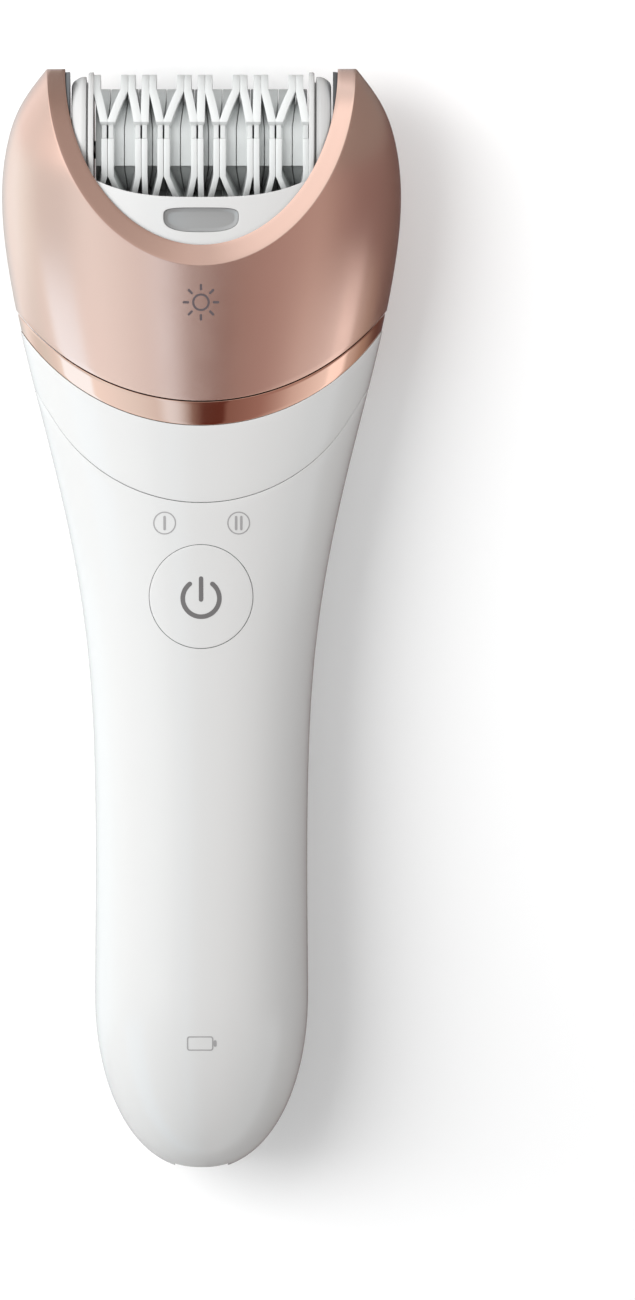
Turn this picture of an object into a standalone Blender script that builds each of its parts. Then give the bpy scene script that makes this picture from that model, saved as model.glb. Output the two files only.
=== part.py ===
"""Cordless epilator: a white handle, a rose head with two horns, and a tweezer drum driven by gears.

The epilator lies on its back: +Z is its front, +Y points to the head and +X to the right. The origin is
under the middle of its length, on the plane that it rests on. Sizes are in millimetres, and become
metres when an object is made.
"""

import math

import bmesh
import bpy
import numpy as np
from mathutils import Matrix, Vector

MM = 0.001
GAP = 0.3  # between pieces that touch on the real object

# The outside of the body: half widths and depths along its length, and the shape of its sections
HALF_LENGTH = 91.67
AXIS_Z = 17.5
SQUARENESS = 2.4
CAP_START = -62.0
CAP_IN, CAP_OUT = 2.1, 2.2
WIDTH_KEYS = [
    (-91.67, 17.75), (-62.0, 17.75), (-25.0, 17.8), (-8.0, 18.7), (10.0, 21.2), (28.0, 25.2),
    (46.0, 29.7), (58.0, 32.1), (69.5, 33.25), (79.0, 32.4), (86.5, 29.6), (91.67, 25.8),
]
FRONT_KEYS = [
    (-91.67, 13.6), (-62.0, 14.9), (-35.0, 14.6), (-12.0, 14.2), (8.0, 14.8), (28.0, 16.2),
    (48.0, 17.7), (60.0, 18.4), (69.5, 18.5), (79.0, 17.3), (86.5, 14.4), (91.67, 11.0),
]
BACK_KEYS = [
    (-91.67, 14.5), (-62.0, 17.2), (-45.0, 18.1), (-20.0, 16.2), (5.0, 15.6), (25.0, 16.3),
    (42.0, 17.9), (52.0, 18.4), (69.5, 18.2), (79.0, 17.2), (86.5, 14.3), (91.67, 11.0),
]

# Seams: arcs seen from the front, as the radius and the lowest point
HEAD_SEAM = (39.0, 36.1)
RING_SEAM = (36.5, 32.1)
COLLAR_SEAM = (28.7, 19.3)
STEEP_SHARE = 0.84  # of the radius, where an arc runs straight on

# Walls, and the mouth of the head: two half ellipses, hung from the horns' tops
WALL = 2.0
HEAD_WALL_SIDE, HEAD_WALL_FRONT = 2.2, 1.8
HORN_WALL = 3.2
HORN_WALL_START = 50.0
MOUTH_OUTER = (25.8, 33.0)
MOUTH_INNER = (22.6, 29.5)

# Drum and gear train
DRUM_Y, IDLER_Y, COUNTER_Y = 78.2, 62.2, 47.0
MODULE = 0.8
PRESSURE_ANGLE = math.radians(20.0)
DRUM_TEETH, IDLER_TEETH, COUNTER_TEETH, CROWN_TEETH, PINION_TEETH = 16, 24, 14, 28, 10
ADDENDUM, DEDENDUM, BACKLASH = 0.55, 0.8, 0.16
GEAR_X = (23.6, 24.8)
PLATE_X = (22.2, 23.0)
DRUM_CAVITY_RADIUS = 13.4

# Tweezer discs: where each disc stands in a unit of four, at the drum's top and at its front
UNIT_PITCH = 9.3
DISC_PLACES = [(-2.32, -1.2), (0.05, -0.1), (1.15, 2.5), (5.88, 3.6)]
DISC_RADIUS, DISC_HUB_RADIUS, DISC_THICKNESS = 12.5, 9.0, 0.8
TOP_FLAT, FRONT_FLAT = 34.0, 20.0  # half angles over which a pair stays closed

# Controls and lights
BUTTON_Y, BUTTON_RADIUS = 3.7, 8.6
SOCKET_HALF = (4.4, 2.6)
RELEASE_Y = 23.5
LENS_Y = 66.1
BOARD_Z = AXIS_Z + 9.6
BOARD_THICKNESS = 1.0

SPINDLE_RADIUS, SHAFT_RADIUS, MOTOR_SHAFT_RADIUS = 1.5, 1.25, 1.0

COLOURS = {
    "white_plastic": ((0.86, 0.86, 0.85), 0.22, 0.0),
    "rose_metallic": ((0.62, 0.42, 0.35), 0.32, 0.75),
    "rose_polished": ((0.72, 0.42, 0.32), 0.08, 1.0),
    "disc_plastic": ((0.80, 0.82, 0.81), 0.35, 0.0),
    "steel": ((0.55, 0.55, 0.56), 0.3, 1.0),
    "inner_plastic": ((0.25, 0.26, 0.27), 0.5, 0.0),
    "gear_plastic": ((0.75, 0.73, 0.66), 0.5, 0.0),
    "rubber": ((0.05, 0.05, 0.05), 0.8, 0.0),
    "board": ((0.04, 0.25, 0.12), 0.5, 0.0),
    "clear_grey": ((0.45, 0.46, 0.46), 0.15, 0.0),
    "brass": ((0.75, 0.58, 0.25), 0.3, 1.0),
    "battery_wrap": ((0.10, 0.22, 0.45), 0.4, 0.0),
}

# The axis that each body turns or slides on
BODY_ORIGINS = {
    "handle_carrier": (0.0, 0.0, 0.0),
    "power_button_carrier": (0.0, BUTTON_Y, AXIS_Z + 14.0),
    "release_button_carrier": (0.0, RELEASE_Y, 1.2),
    "rotor_axis": (0.0, 0.0, AXIS_Z),
    "head_carrier": (0.0, HEAD_SEAM[1], AXIS_Z),
    "drum_axis": (0.0, DRUM_Y, AXIS_Z),
    "counter_axis": (0.0, COUNTER_Y, AXIS_Z),
    "idler_axis": (0.0, IDLER_Y, AXIS_Z),
}


# ---------------------------------------------------------------- scene


def clear_scene():
    for obj in list(bpy.data.objects):
        bpy.data.objects.remove(obj, do_unlink=True)


def make_collection(name):
    collection = bpy.data.collections.new(name)
    bpy.context.scene.collection.children.link(collection)
    return collection


def make_material(name):
    colour, roughness, metallic = COLOURS[name]
    material = bpy.data.materials.new(name)
    material.use_nodes = True
    shader = material.node_tree.nodes["Principled BSDF"]
    shader.inputs["Base Color"].default_value = (*colour, 1.0)
    shader.inputs["Roughness"].default_value = roughness
    shader.inputs["Metallic"].default_value = metallic
    return material


def make_carriers():
    carriers = {}
    for name, origin in BODY_ORIGINS.items():
        carriers[name] = bpy.data.objects.new(name, None)
        carriers[name].location = Vector(origin) * MM
        carriers[name].empty_display_size = 0.01
        PARTS.objects.link(carriers[name])
    return carriers


def hang(obj, name, body, material):
    """Names an object, gives it its material and parents it to its body's carrier."""
    obj.name = name
    obj.data.name = name
    obj.data.materials.append(MATERIALS[material])
    obj.parent = CARRIERS[body]
    return obj


def turn_faces_out(bm):
    bmesh.ops.recalc_face_normals(bm, faces=bm.faces)
    if bm.calc_volume(signed=True) < 0.0:
        bmesh.ops.reverse_faces(bm, faces=bm.faces)


def new_part(name, bm, body, material):
    """A part from a bmesh drawn in place, in millimetres."""
    mesh = bpy.data.meshes.new(name)
    turn_faces_out(bm)
    bm.transform(Matrix.Scale(MM, 4) @ Matrix.Translation(-Vector(BODY_ORIGINS[body])))
    bm.to_mesh(mesh)
    bm.free()
    mesh.shade_smooth()
    mesh.set_sharp_from_angle(angle=math.radians(35.0))
    obj = bpy.data.objects.new(name, mesh)
    PARTS.objects.link(obj)
    return hang(obj, name, body, material)


def new_cutter(name, bm):
    """A cutter from a bmesh drawn in place, in millimetres."""
    mesh = bpy.data.meshes.new(name)
    turn_faces_out(bm)
    bm.transform(Matrix.Scale(MM, 4))
    bm.to_mesh(mesh)
    bm.free()
    obj = bpy.data.objects.new(name, mesh)
    CUTTERS.objects.link(obj)
    obj.hide_render = True
    obj.display_type = "WIRE"
    return obj


def boolean(obj, other, operation="DIFFERENCE"):
    modifier = obj.modifiers.new(operation.lower() + "_" + other.name, "BOOLEAN")
    modifier.operation = operation
    modifier.object = other
    modifier.solver = "EXACT"


# ---------------------------------------------------------------- plain shapes


def block(low, high):
    bm = bmesh.new()
    bmesh.ops.create_cube(bm, size=1.0)
    low, high = Vector(low), Vector(high)
    bm.transform(Matrix.Translation((low + high) / 2) @ Matrix.Diagonal((*(high - low), 1.0)))
    return bm


def cylinder(start, end, radius, segments=24):
    """A cylinder between two points."""
    bm = bmesh.new()
    start, end = Vector(start), Vector(end)
    length = (end - start).length
    bmesh.ops.create_cone(bm, cap_ends=True, segments=segments, radius1=radius, radius2=radius, depth=length)
    turn = Vector((0, 0, 1)).rotation_difference(end - start).to_matrix().to_4x4()
    bm.transform(Matrix.Translation((start + end) / 2) @ turn)
    return bm


def turned(name, profile, centre, direction, body, material, segments=24):
    """A turned part: (radius, height) points down its outer side, then back up its inner side."""
    mesh = bpy.data.meshes.new(name)
    bm = bmesh.new()
    points = [bm.verts.new((radius * MM, 0.0, height * MM)) for radius, height in profile]
    for start, end in zip(points, points[1:] + points[:1]):
        bm.edges.new((start, end))
    bm.to_mesh(mesh)
    bm.free()
    obj = bpy.data.objects.new(name, mesh)
    PARTS.objects.link(obj)
    screw = obj.modifiers.new("turn", "SCREW")
    screw.steps = screw.render_steps = segments
    screw.use_merge_vertices = True
    screw.merge_threshold = 0.00001
    screw.use_smooth_shade = True
    obj.location = (Vector(centre) - Vector(BODY_ORIGINS[body])) * MM
    obj.rotation_euler = Vector((0, 0, 1)).rotation_difference(Vector(direction)).to_euler()
    return hang(obj, name, body, material)


def flat_outline(name, outlines, thickness):
    """A filled 2D curve, extruded both ways. The first outline is the outside and the others are holes."""
    curve = bpy.data.curves.new(name, "CURVE")
    curve.dimensions = "2D"
    curve.fill_mode = "BOTH"
    curve.extrude = thickness / 2 * MM
    for outline in outlines:
        spline = curve.splines.new("POLY")
        spline.points.add(len(outline) - 1)
        spline.use_cyclic_u = True
        for point, (u, v) in zip(spline.points, outline):
            point.co = (u * MM, v * MM, 0.0, 1.0)
    return bpy.data.objects.new(name, curve)


# An outline's (u, v) on each plane: its normal, and the turn that lays it there
TURN_NORMAL_X = (0.0, math.pi / 2, 0.0)  # v runs along +Y, and u along -Z
TURN_NORMAL_Y = (-math.pi / 2, 0.0, 0.0)  # u runs along +X, and v along -Z
TURN_NORMAL_Z = (0.0, 0.0, 0.0)  # u runs along +X, and v along +Y


def flat_part(name, outlines, thickness, centre, turn, body, material):
    obj = flat_outline(name, outlines, thickness)
    PARTS.objects.link(obj)
    obj.location = (Vector(centre) - Vector(BODY_ORIGINS[body])) * MM
    obj.rotation_euler = turn
    return hang(obj, name, body, material)


def to_mesh(obj):
    """Makes a curve object a mesh with its caps welded, so that it can be cut."""
    bpy.context.view_layer.update()
    graph = bpy.context.evaluated_depsgraph_get()
    mesh = bpy.data.meshes.new_from_object(obj.evaluated_get(graph))
    bm = bmesh.new()
    bm.from_mesh(mesh)
    bmesh.ops.remove_doubles(bm, verts=bm.verts, dist=0.000001)
    bm.to_mesh(mesh)
    bm.free()
    name = obj.name
    solid = bpy.data.objects.new(name + "_solid", mesh)
    solid.parent = obj.parent
    solid.matrix_local = obj.matrix_local.copy()
    for collection in obj.users_collection:
        collection.objects.link(solid)
    bpy.data.objects.remove(obj, do_unlink=True)
    solid.name = name
    return solid


def circle(radius, segments=16, centre=(0.0, 0.0)):
    angles = [2 * math.pi * k / segments for k in range(segments)]
    return [(centre[0] + radius * math.cos(a), centre[1] + radius * math.sin(a)) for a in angles]


def pill(half_u, half_v, centre=(0.0, 0.0), segments=8):
    """A slot with round ends, long along u."""
    points = []
    for side in (1, -1):
        for k in range(segments + 1):
            angle = math.pi * (k / segments - 0.5)
            u = side * (half_u - half_v + half_v * math.cos(angle))
            points.append((centre[0] + u, centre[1] + side * half_v * math.sin(angle)))
    return points


# ---------------------------------------------------------------- the body's surface


def natural_spline(keys):
    """A smooth curve through (y, value) keys, as a function of y."""
    ys = np.array([key[0] for key in keys])
    values = np.array([key[1] for key in keys])
    step = np.diff(ys)
    count = len(ys)
    system = np.zeros((count, count))
    right = np.zeros(count)
    system[0, 0] = system[-1, -1] = 1.0
    for i in range(1, count - 1):
        system[i, i - 1 : i + 2] = step[i - 1], 2 * (step[i - 1] + step[i]), step[i]
        right[i] = 6 * ((values[i + 1] - values[i]) / step[i] - (values[i] - values[i - 1]) / step[i - 1])
    bend = np.linalg.solve(system, right)

    def value(y):
        i = min(max(int(np.searchsorted(ys, y)) - 1, 0), count - 2)
        after, before = ys[i + 1] - y, y - ys[i]
        curve = (bend[i] * after**3 + bend[i + 1] * before**3) / (6 * step[i])
        low = (values[i] / step[i] - bend[i] * step[i] / 6) * after
        return float(curve + low + (values[i + 1] / step[i] - bend[i + 1] * step[i] / 6) * before)

    return value


half_width = natural_spline(WIDTH_KEYS)
front_depth = natural_spline(FRONT_KEYS)
back_depth = natural_spline(BACK_KEYS)


def even(depth):
    """The same inset all round."""
    return lambda y: (depth, depth)


def head_wall(extra=0.0):
    """The inside of the head shell, thicker towards the horns."""

    def inset(y):
        rise = max(0.0, (y - HORN_WALL_START) / (HALF_LENGTH - HORN_WALL_START))
        return HEAD_WALL_SIDE + (HORN_WALL - HEAD_WALL_SIDE) * rise + extra, HEAD_WALL_FRONT + extra

    return inset


def closing(y, inset):
    """1 along the body, and down to 0 at the handle's round end."""
    along = (CAP_START - y) / (CAP_START + HALF_LENGTH - inset)
    if along <= 0.0:
        return 1.0
    return max(1.0 - min(along, 1.0) ** CAP_IN, 0.0) ** (1.0 / CAP_OUT)


def surface(angle, y, inset):
    """The point at y and at an angle from +X towards +Z, on the body's surface moved in by inset(y)."""
    inset_x, inset_z = inset(y)
    across, up = math.cos(angle), math.sin(angle)
    depth = front_depth(y) if up >= 0.0 else back_depth(y)
    shrink = closing(y, inset_z)
    x = math.copysign(abs(across) ** (2 / SQUARENESS), across) * (half_width(y) - inset_x) * shrink
    z = math.copysign(abs(up) ** (2 / SQUARENESS), up) * (depth - inset_z) * shrink
    return Vector((x, y, max(AXIS_Z + z, inset_z)))


def meet(angle, inset, outside):
    """The y where the column at an angle crosses an edge: outside(x, y) is positive below it."""
    low, high = 0.0, HALF_LENGTH
    for _ in range(40):
        middle = (low + high) / 2
        if outside(surface(angle, middle, inset).x, middle) > 0.0:
            low = middle
        else:
            high = middle
    return (low + high) / 2


def arc_height(x, arc):
    """The height of a seam's arc at x. It runs straight on where it would turn too steep."""
    radius, lowest = arc
    steep = STEEP_SHARE * radius
    bent = min(abs(x), steep)
    drop = math.sqrt(radius**2 - bent**2)
    return lowest + radius - drop + (abs(x) - bent) * steep / drop


def seam(arc, shift):
    """An edge along a seam's arc, moved along Y by shift."""

    def edge(angle, inset):
        return meet(angle, inset, lambda x, y: arc_height(x, arc) + shift - y)

    return edge


def mouth(half_axes):
    """An edge along a half ellipse hung from the horns' tops."""

    def edge(angle, inset):
        def outside(x, y):
            return (x / half_axes[0]) ** 2 + ((HALF_LENGTH - y) / half_axes[1]) ** 2 - 1.0

        return meet(angle, inset, outside)

    return edge


def handle_end(angle, inset):
    return -HALF_LENGTH + inset(-HALF_LENGTH)[1]


def wall_between(angles, rows, low, high, insets, closed, spread=1.0):
    """A wall between two insets of the surface, from one edge to another. high holds an edge per inset."""
    bm = bmesh.new()
    sheets = []
    for inset, top in zip(insets, high):
        sheet = []
        for angle in angles:
            start, end = low(angle, inset), top(angle, inset)
            ys = [start + (end - start) * (k / rows) ** spread for k in range(rows + 1)]
            sheet.append([bm.verts.new(surface(angle, y, inset)) for y in ys])
        sheets.append(sheet)
    outer, inner = sheets
    count = len(angles)
    for i in range(count if closed else count - 1):
        j = (i + 1) % count
        for k in range(rows):
            bm.faces.new((outer[i][k], outer[j][k], outer[j][k + 1], outer[i][k + 1]))
            bm.faces.new((inner[i][k], inner[i][k + 1], inner[j][k + 1], inner[j][k]))
        bm.faces.new((outer[i][0], inner[i][0], inner[j][0], outer[j][0]))
        bm.faces.new((outer[i][rows], outer[j][rows], inner[j][rows], inner[i][rows]))
    if not closed:
        for i in (0, count - 1):
            for k in range(rows):
                bm.faces.new((outer[i][k], outer[i][k + 1], inner[i][k + 1], inner[i][k]))
    return bm


def filled_body(inset, low, high, rows, columns=32):
    """The whole section of the body between two heights, as a solid."""
    bm = bmesh.new()
    angles = [2 * math.pi * i / columns for i in range(columns)]
    ys = [low + (high - low) * k / rows for k in range(rows + 1)]
    rings = [[bm.verts.new(surface(angle, y, inset)) for angle in angles] for y in ys]
    for ring, following in zip(rings, rings[1:]):
        for i in range(columns):
            j = (i + 1) % columns
            bm.faces.new((ring[i], ring[j], following[j], following[i]))
    bm.faces.new(rings[0])
    bm.faces.new(rings[-1])
    return bm


def ring_loft(sections):
    """A closed ring of sections, each a list of points of the same length."""
    bm = bmesh.new()
    rings = [[bm.verts.new(point) for point in section] for section in sections]
    for ring, following in zip(rings, rings[1:] + rings[:1]):
        for i in range(len(ring)):
            j = (i + 1) % len(ring)
            bm.faces.new((ring[i], ring[j], following[j], following[i]))
    return bm


def around(count, start=0.0, end=360.0, ends=False):
    total = count + 1 if ends else count
    return [math.radians(start + (end - start) * i / count) for i in range(total)]


# ---------------------------------------------------------------- casings


def half_casing(name, front):
    """The front or rear half of the white handle, open at the collar seam."""
    angles = around(16, 0.0 if front else 180.0, 180.0 if front else 360.0, ends=True)
    edge = seam(COLLAR_SEAM, -GAP / 2)
    bm = wall_between(angles, 14, handle_end, (edge, edge), (even(0.0), even(WALL)), False, 1.7)
    for vertex in bm.verts:
        if front:
            vertex.co.z = max(vertex.co.z, AXIS_Z + GAP / 2)
        else:
            vertex.co.z = min(vertex.co.z, AXIS_Z - GAP / 2)
    bmesh.ops.remove_doubles(bm, verts=bm.verts, dist=0.0001)
    bmesh.ops.dissolve_degenerate(bm, edges=bm.edges, dist=0.0001)
    casing = new_part(name, bm, "handle_carrier", "white_plastic")
    boolean(casing, CUT["socket_recess"])
    return casing


def front_shell():
    casing = half_casing("front_shell", True)
    hole = cylinder(
        (0, BUTTON_Y, AXIS_Z + 8), (0, BUTTON_Y, AXIS_Z + 20), BUTTON_RADIUS + GAP, segments=32
    )
    boolean(casing, new_cutter("button_hole", hole))


def rear_shell():
    half_casing("rear_shell", False)


def upper_collar():
    top = seam(RING_SEAM, -GAP / 2)
    low = seam(COLLAR_SEAM, GAP / 2)
    insets = (even(0.0), even(WALL))
    bm = wall_between(around(32), 3, low, (top, top), insets, True)
    collar = new_part("upper_collar", bm, "handle_carrier", "white_plastic")
    boolean(collar, CUT["release_slot"])


def accent_ring():
    top = seam(HEAD_SEAM, -GAP / 2)
    insets = (even(0.15), even(WALL))
    bm = wall_between(around(32), 2, seam(RING_SEAM, GAP / 2), (top, top), insets, True)
    new_part("accent_ring", bm, "handle_carrier", "rose_polished")


def head_shell():
    """The rose cover. Its wall ends on the slanted band between the mouth's two ellipses."""
    insets = (even(0.0), head_wall())
    edges = (mouth(MOUTH_OUTER), mouth(MOUTH_INNER))
    bm = wall_between(around(40), 7, seam(HEAD_SEAM, GAP / 2), edges, insets, True)
    new_part("head_shell", bm, "head_carrier", "rose_metallic")


# ---------------------------------------------------------------- handle insides


def socket():
    """The charging inlet: a cup at the handle's end with two pins."""
    half_x, half_z = SOCKET_HALF
    cup = block((-half_x - 1.6, -84.4, AXIS_Z - half_z - 1.6), (half_x + 1.6, -78.0, AXIS_Z + half_z + 1.6))
    housing = new_part("socket_housing", cup, "handle_carrier", "inner_plastic")
    hollow = block((-half_x, -95.0, AXIS_Z - half_z), (half_x, -80.0, AXIS_Z + half_z))
    boolean(housing, new_cutter("socket_hollow", hollow))
    for side, x in (("left", -2.0), ("right", 2.0)):
        hole = cylinder((x, -80.5, AXIS_Z), (x, -77.0, AXIS_Z), 0.7 + GAP, segments=12)
        boolean(housing, new_cutter(f"pin_hole_{side}", hole))
        pin = cylinder((x, -84.4, AXIS_Z), (x, -76.4, AXIS_Z), 0.7, segments=12)
        new_part(f"socket_pin_{side}", pin, "handle_carrier", "brass")


def battery():
    radius, low, high = 7.0, -72.0, -22.0
    profile = [(0.0, high + 0.6), (2.4, high + 0.6), (2.4, high), (radius - 0.6, high), (radius, high - 0.6)]
    profile += [(radius, low + 0.4), (radius - 0.4, low), (0.0, low)]
    turned("battery_cell", profile, (0, 0, AXIS_Z), (0, 1, 0), "handle_carrier", "battery_wrap")
    for name, start in (("battery_tab_bottom", low - GAP - 0.4), ("battery_tab_top", high + 0.6 + GAP)):
        tab = block((-3.0, start, AXIS_Z - 3.0), (3.0, start + 0.4, AXIS_Z + 8.9))
        new_part(name, tab, "handle_carrier", "brass")


def circuit_board():
    """A board along the front of the handle, with a narrow tail to the battery light."""
    right = [(8.0, 20.0), (8.0, -62.0), (5.0, -66.0), (5.0, -74.0)]
    outline = right + [(-u, v) for u, v in reversed(right)]
    centre = (0, 0, BOARD_Z + BOARD_THICKNESS / 2)
    flat_part("circuit_board", [outline], BOARD_THICKNESS, centre, TURN_NORMAL_Z, "handle_carrier", "board")


def button_switch():
    low = BOARD_Z + BOARD_THICKNESS + GAP
    half, height, tip_height = 3.0, 0.8, 1.0
    body = block((-half, BUTTON_Y - half, low), (half, BUTTON_Y + half, low + height))
    switch = new_part("button_switch", body, "handle_carrier", "inner_plastic")
    tip = cylinder((0, BUTTON_Y, low + height / 2), (0, BUTTON_Y, low + tip_height), 1.5, segments=16)
    boolean(switch, new_cutter("switch_tip", tip), "UNION")


def status_lights():
    """Small lamps on the board, under the speed marks and the battery mark."""
    low = BOARD_Z + BOARD_THICKNESS + GAP
    for name, x, y in (("speed_light_one", -6.05, 15.9), ("speed_light_two", 6.25, 15.9)):
        lamp = cylinder((x, y, low), (x, y, low + 1.3), 1.2, segments=12)
        new_part(name, lamp, "handle_carrier", "clear_grey")
    lamp = block((-1.6, -71.5, low), (1.6, -69.5, low + 0.5))
    new_part("battery_light", lamp, "handle_carrier", "clear_grey")


def motor():
    """The motor with its plate, two screws and its turning shaft and pinion."""
    shaft_hole = MOTOR_SHAFT_RADIUS + GAP
    can = [(shaft_hole, 21.5), (3.0, 21.5), (3.0, 20.3), (8.4, 20.3), (9.0, 19.7), (9.0, -4.4)]
    can += [(8.4, -5.0), (0.0, -5.0), (0.0, -3.0), (shaft_hole, -3.0)]
    housing = turned("motor_can", can, (0, 0, AXIS_Z), (0, 1, 0), "handle_carrier", "steel")
    plate_low, plate_high = 20.6, 22.0
    plate = flat_part(
        "motor_mount",
        [pill(13.5, 8.5), circle(3.0 + GAP, 16)],
        plate_high - plate_low,
        (0, (plate_low + plate_high) / 2, AXIS_Z),
        TURN_NORMAL_Y,
        "handle_carrier",
        "steel",
    )
    plate = to_mesh(plate)
    plate_top = plate_high + GAP
    for side, x in (("left", -5.8), ("right", 5.8)):
        hole = new_cutter(
            f"screw_hole_{side}", cylinder((x, 15.5, AXIS_Z), (x, 24.0, AXIS_Z), 0.8 + GAP, segments=12)
        )
        boolean(housing, hole)
        boolean(plate, hole)
        profile = [(0.0, 1.0), (1.3, 1.0), (1.6, 0.7), (1.6, 0.0), (0.8, 0.0), (0.8, -5.4), (0.0, -6.0)]
        centre = (x, plate_top, AXIS_Z)
        turned(f"motor_screw_{side}", profile, centre, (0, 1, 0), "handle_carrier", "steel", 12)
    shaft = cylinder((0, -2.5, AXIS_Z), (0, 37.6, AXIS_Z), MOTOR_SHAFT_RADIUS, segments=16)
    new_part("motor_shaft", shaft, "rotor_axis", "steel")
    pinion_centre = COUNTER_Y - CROWN_TEETH * MODULE / 2
    flat_part(
        "drive_pinion",
        [gear_outline(PINION_TEETH, math.pi / PINION_TEETH, 0.5), circle(MOTOR_SHAFT_RADIUS + GAP, 12)],
        3.0,
        (0, pinion_centre, AXIS_Z),
        TURN_NORMAL_Y,
        "rotor_axis",
        "brass",
    )


def bulkhead():
    """The plate that closes the handle under the head, with the shaft's seal and the release spring's seat."""
    low, high = 26.6, 28.2
    plate = filled_body(even(WALL + GAP), low, high, 1)
    divider = new_part("bulkhead", plate, "handle_carrier", "white_plastic")
    shaft_hole = cylinder((0, low - 1, AXIS_Z), (0, high + 1, AXIS_Z), 3.0 + GAP, segments=16)
    boolean(divider, new_cutter("seal_hole", shaft_hole))
    seat = block((-3.0, RELEASE_Y - 1.2, 8.9), (3.0, low + 0.8, 10.4))
    boolean(divider, new_cutter("spring_seat", seat), "UNION")
    inner = MOTOR_SHAFT_RADIUS + GAP
    profile = [(3.0, high), (3.0, low), (inner + 0.5, low - 0.6), (inner, low - 0.6), (inner, high)]
    turned("shaft_seal", profile, (0, 0, AXIS_Z), (0, 1, 0), "handle_carrier", "rubber", 16)


def power_button():
    """A round cap, flush with the front."""
    bm = cylinder(
        (0, BUTTON_Y, AXIS_Z + 12.6), (0, BUTTON_Y, AXIS_Z + 19), BUTTON_RADIUS, segments=32
    )
    cap = new_part("power_button", bm, "power_button_carrier", "white_plastic")
    surface_block = filled_body(even(0.0), BUTTON_Y - 12, BUTTON_Y + 12, 8)
    boolean(cap, new_cutter("button_surface", surface_block), "INTERSECT")


def release_button():
    """The head release, on the back of the collar, with its return spring."""
    cap = flat_part(
        "release_button",
        [pill(5.5, 2.6)],
        3.6,
        (0, RELEASE_Y, 0.7 + 1.8),
        TURN_NORMAL_Z,
        "release_button_carrier",
        "white_plastic",
    )
    to_mesh(cap)
    turns, points_per_turn, radius, low, high = 3, 10, 1.5, 4.9, 8.3
    curve = bpy.data.curves.new("release_spring", "CURVE")
    curve.dimensions = "3D"
    curve.bevel_depth = 0.22 * MM
    curve.bevel_resolution = 1
    curve.use_fill_caps = True
    spline = curve.splines.new("POLY")
    steps = turns * points_per_turn
    spline.points.add(steps)
    for k, point in enumerate(spline.points):
        angle = 2 * math.pi * turns * k / steps
        height = low - BODY_ORIGINS["release_button_carrier"][2] + (high - low) * k / steps
        point.co = (radius * math.cos(angle) * MM, radius * math.sin(angle) * MM, height * MM, 1.0)
    spring = bpy.data.objects.new("release_spring", curve)
    PARTS.objects.link(spring)
    hang(spring, "release_spring", "release_button_carrier", "steel")


# ---------------------------------------------------------------- gears


def involute(angle):
    return math.tan(angle) - angle


def gear_outline(teeth, phase, addendum=ADDENDUM):
    """A spur gear seen along its axis: (u, v) with the angle counted from +v towards -u."""
    pitch_radius = teeth * MODULE / 2
    base_radius = pitch_radius * math.cos(PRESSURE_ANGLE)
    pitch_half = math.pi / (2 * teeth) - BACKLASH / (2 * pitch_radius)
    flanks = []
    for radius in (pitch_radius - DEDENDUM, pitch_radius, pitch_radius + addendum):
        pressure = math.acos(min(1.0, base_radius / radius))
        flanks.append((radius, pitch_half + involute(PRESSURE_ANGLE) - involute(pressure)))
    points = []
    for tooth in range(teeth):
        middle = phase + 2 * math.pi * tooth / teeth
        for radius, half in flanks:
            points.append((radius, middle - half))
        for radius, half in reversed(flanks):
            points.append((radius, middle + half))
    return [(-radius * math.sin(angle), radius * math.cos(angle)) for radius, angle in points]


def spur_gear(name, teeth, phase, centre_y, bore, body, material):
    thickness = GEAR_X[1] - GEAR_X[0]
    centre = (GEAR_X[0] + thickness / 2, centre_y, AXIS_Z)
    outlines = [gear_outline(teeth, phase), circle(bore + GAP, 12)]
    flat_part(name, outlines, thickness, centre, TURN_NORMAL_X, body, material)


def crown_gear():
    """A face gear whose teeth point to -X, into the pinion's side."""
    pitch_radius = CROWN_TEETH * MODULE / 2
    pinion_radius = PINION_TEETH * MODULE / 2
    inner, outer = pitch_radius - 1.4, pitch_radius + 1.0
    back, root, tip = pinion_radius + 2.6, pinion_radius + 0.8, pinion_radius - 0.45
    pitch_half = (math.pi * MODULE / 2 - BACKLASH) / 2
    slope = math.tan(PRESSURE_ANGLE)
    tip_half = (pitch_half - (pinion_radius - tip) * slope) / pitch_radius
    root_half = (pitch_half + (root - pinion_radius) * slope) / pitch_radius
    bore = SHAFT_RADIUS + GAP
    sections = []
    for tooth in range(CROWN_TEETH):
        middle = 2 * math.pi * (tooth + 0.5) / CROWN_TEETH
        for half, x in ((-root_half, root), (-tip_half, tip), (tip_half, tip), (root_half, root)):
            y, z = math.cos(middle + half), math.sin(middle + half)
            section = [(back, bore), (back, outer), (x, outer), (x, inner), (root, bore)]
            sections.append([(at, COUNTER_Y + r * y, AXIS_Z + r * z) for at, r in section])
    new_part("crown_gear", ring_loft(sections), "counter_axis", "gear_plastic")


def gear_train():
    crown_gear()
    spur_gear("counter_gear", COUNTER_TEETH, 0.0, COUNTER_Y, SHAFT_RADIUS, "counter_axis", "gear_plastic")
    half_tooth = math.pi / IDLER_TEETH
    spur_gear("idler_gear", IDLER_TEETH, half_tooth, IDLER_Y, SHAFT_RADIUS, "idler_axis", "gear_plastic")
    spur_gear("drum_gear", DRUM_TEETH, 0.0, DRUM_Y, SPINDLE_RADIUS, "drum_axis", "gear_plastic")
    shaft = cylinder((-20.6, COUNTER_Y, AXIS_Z), (25.2, COUNTER_Y, AXIS_Z), SHAFT_RADIUS, segments=16)
    new_part("countershaft", shaft, "counter_axis", "steel")
    pin = cylinder((PLATE_X[0], IDLER_Y, AXIS_Z), (25.2, IDLER_Y, AXIS_Z), SHAFT_RADIUS, segments=16)
    new_part("idler_pin", pin, "head_carrier", "steel")


# ---------------------------------------------------------------- head frame


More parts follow.
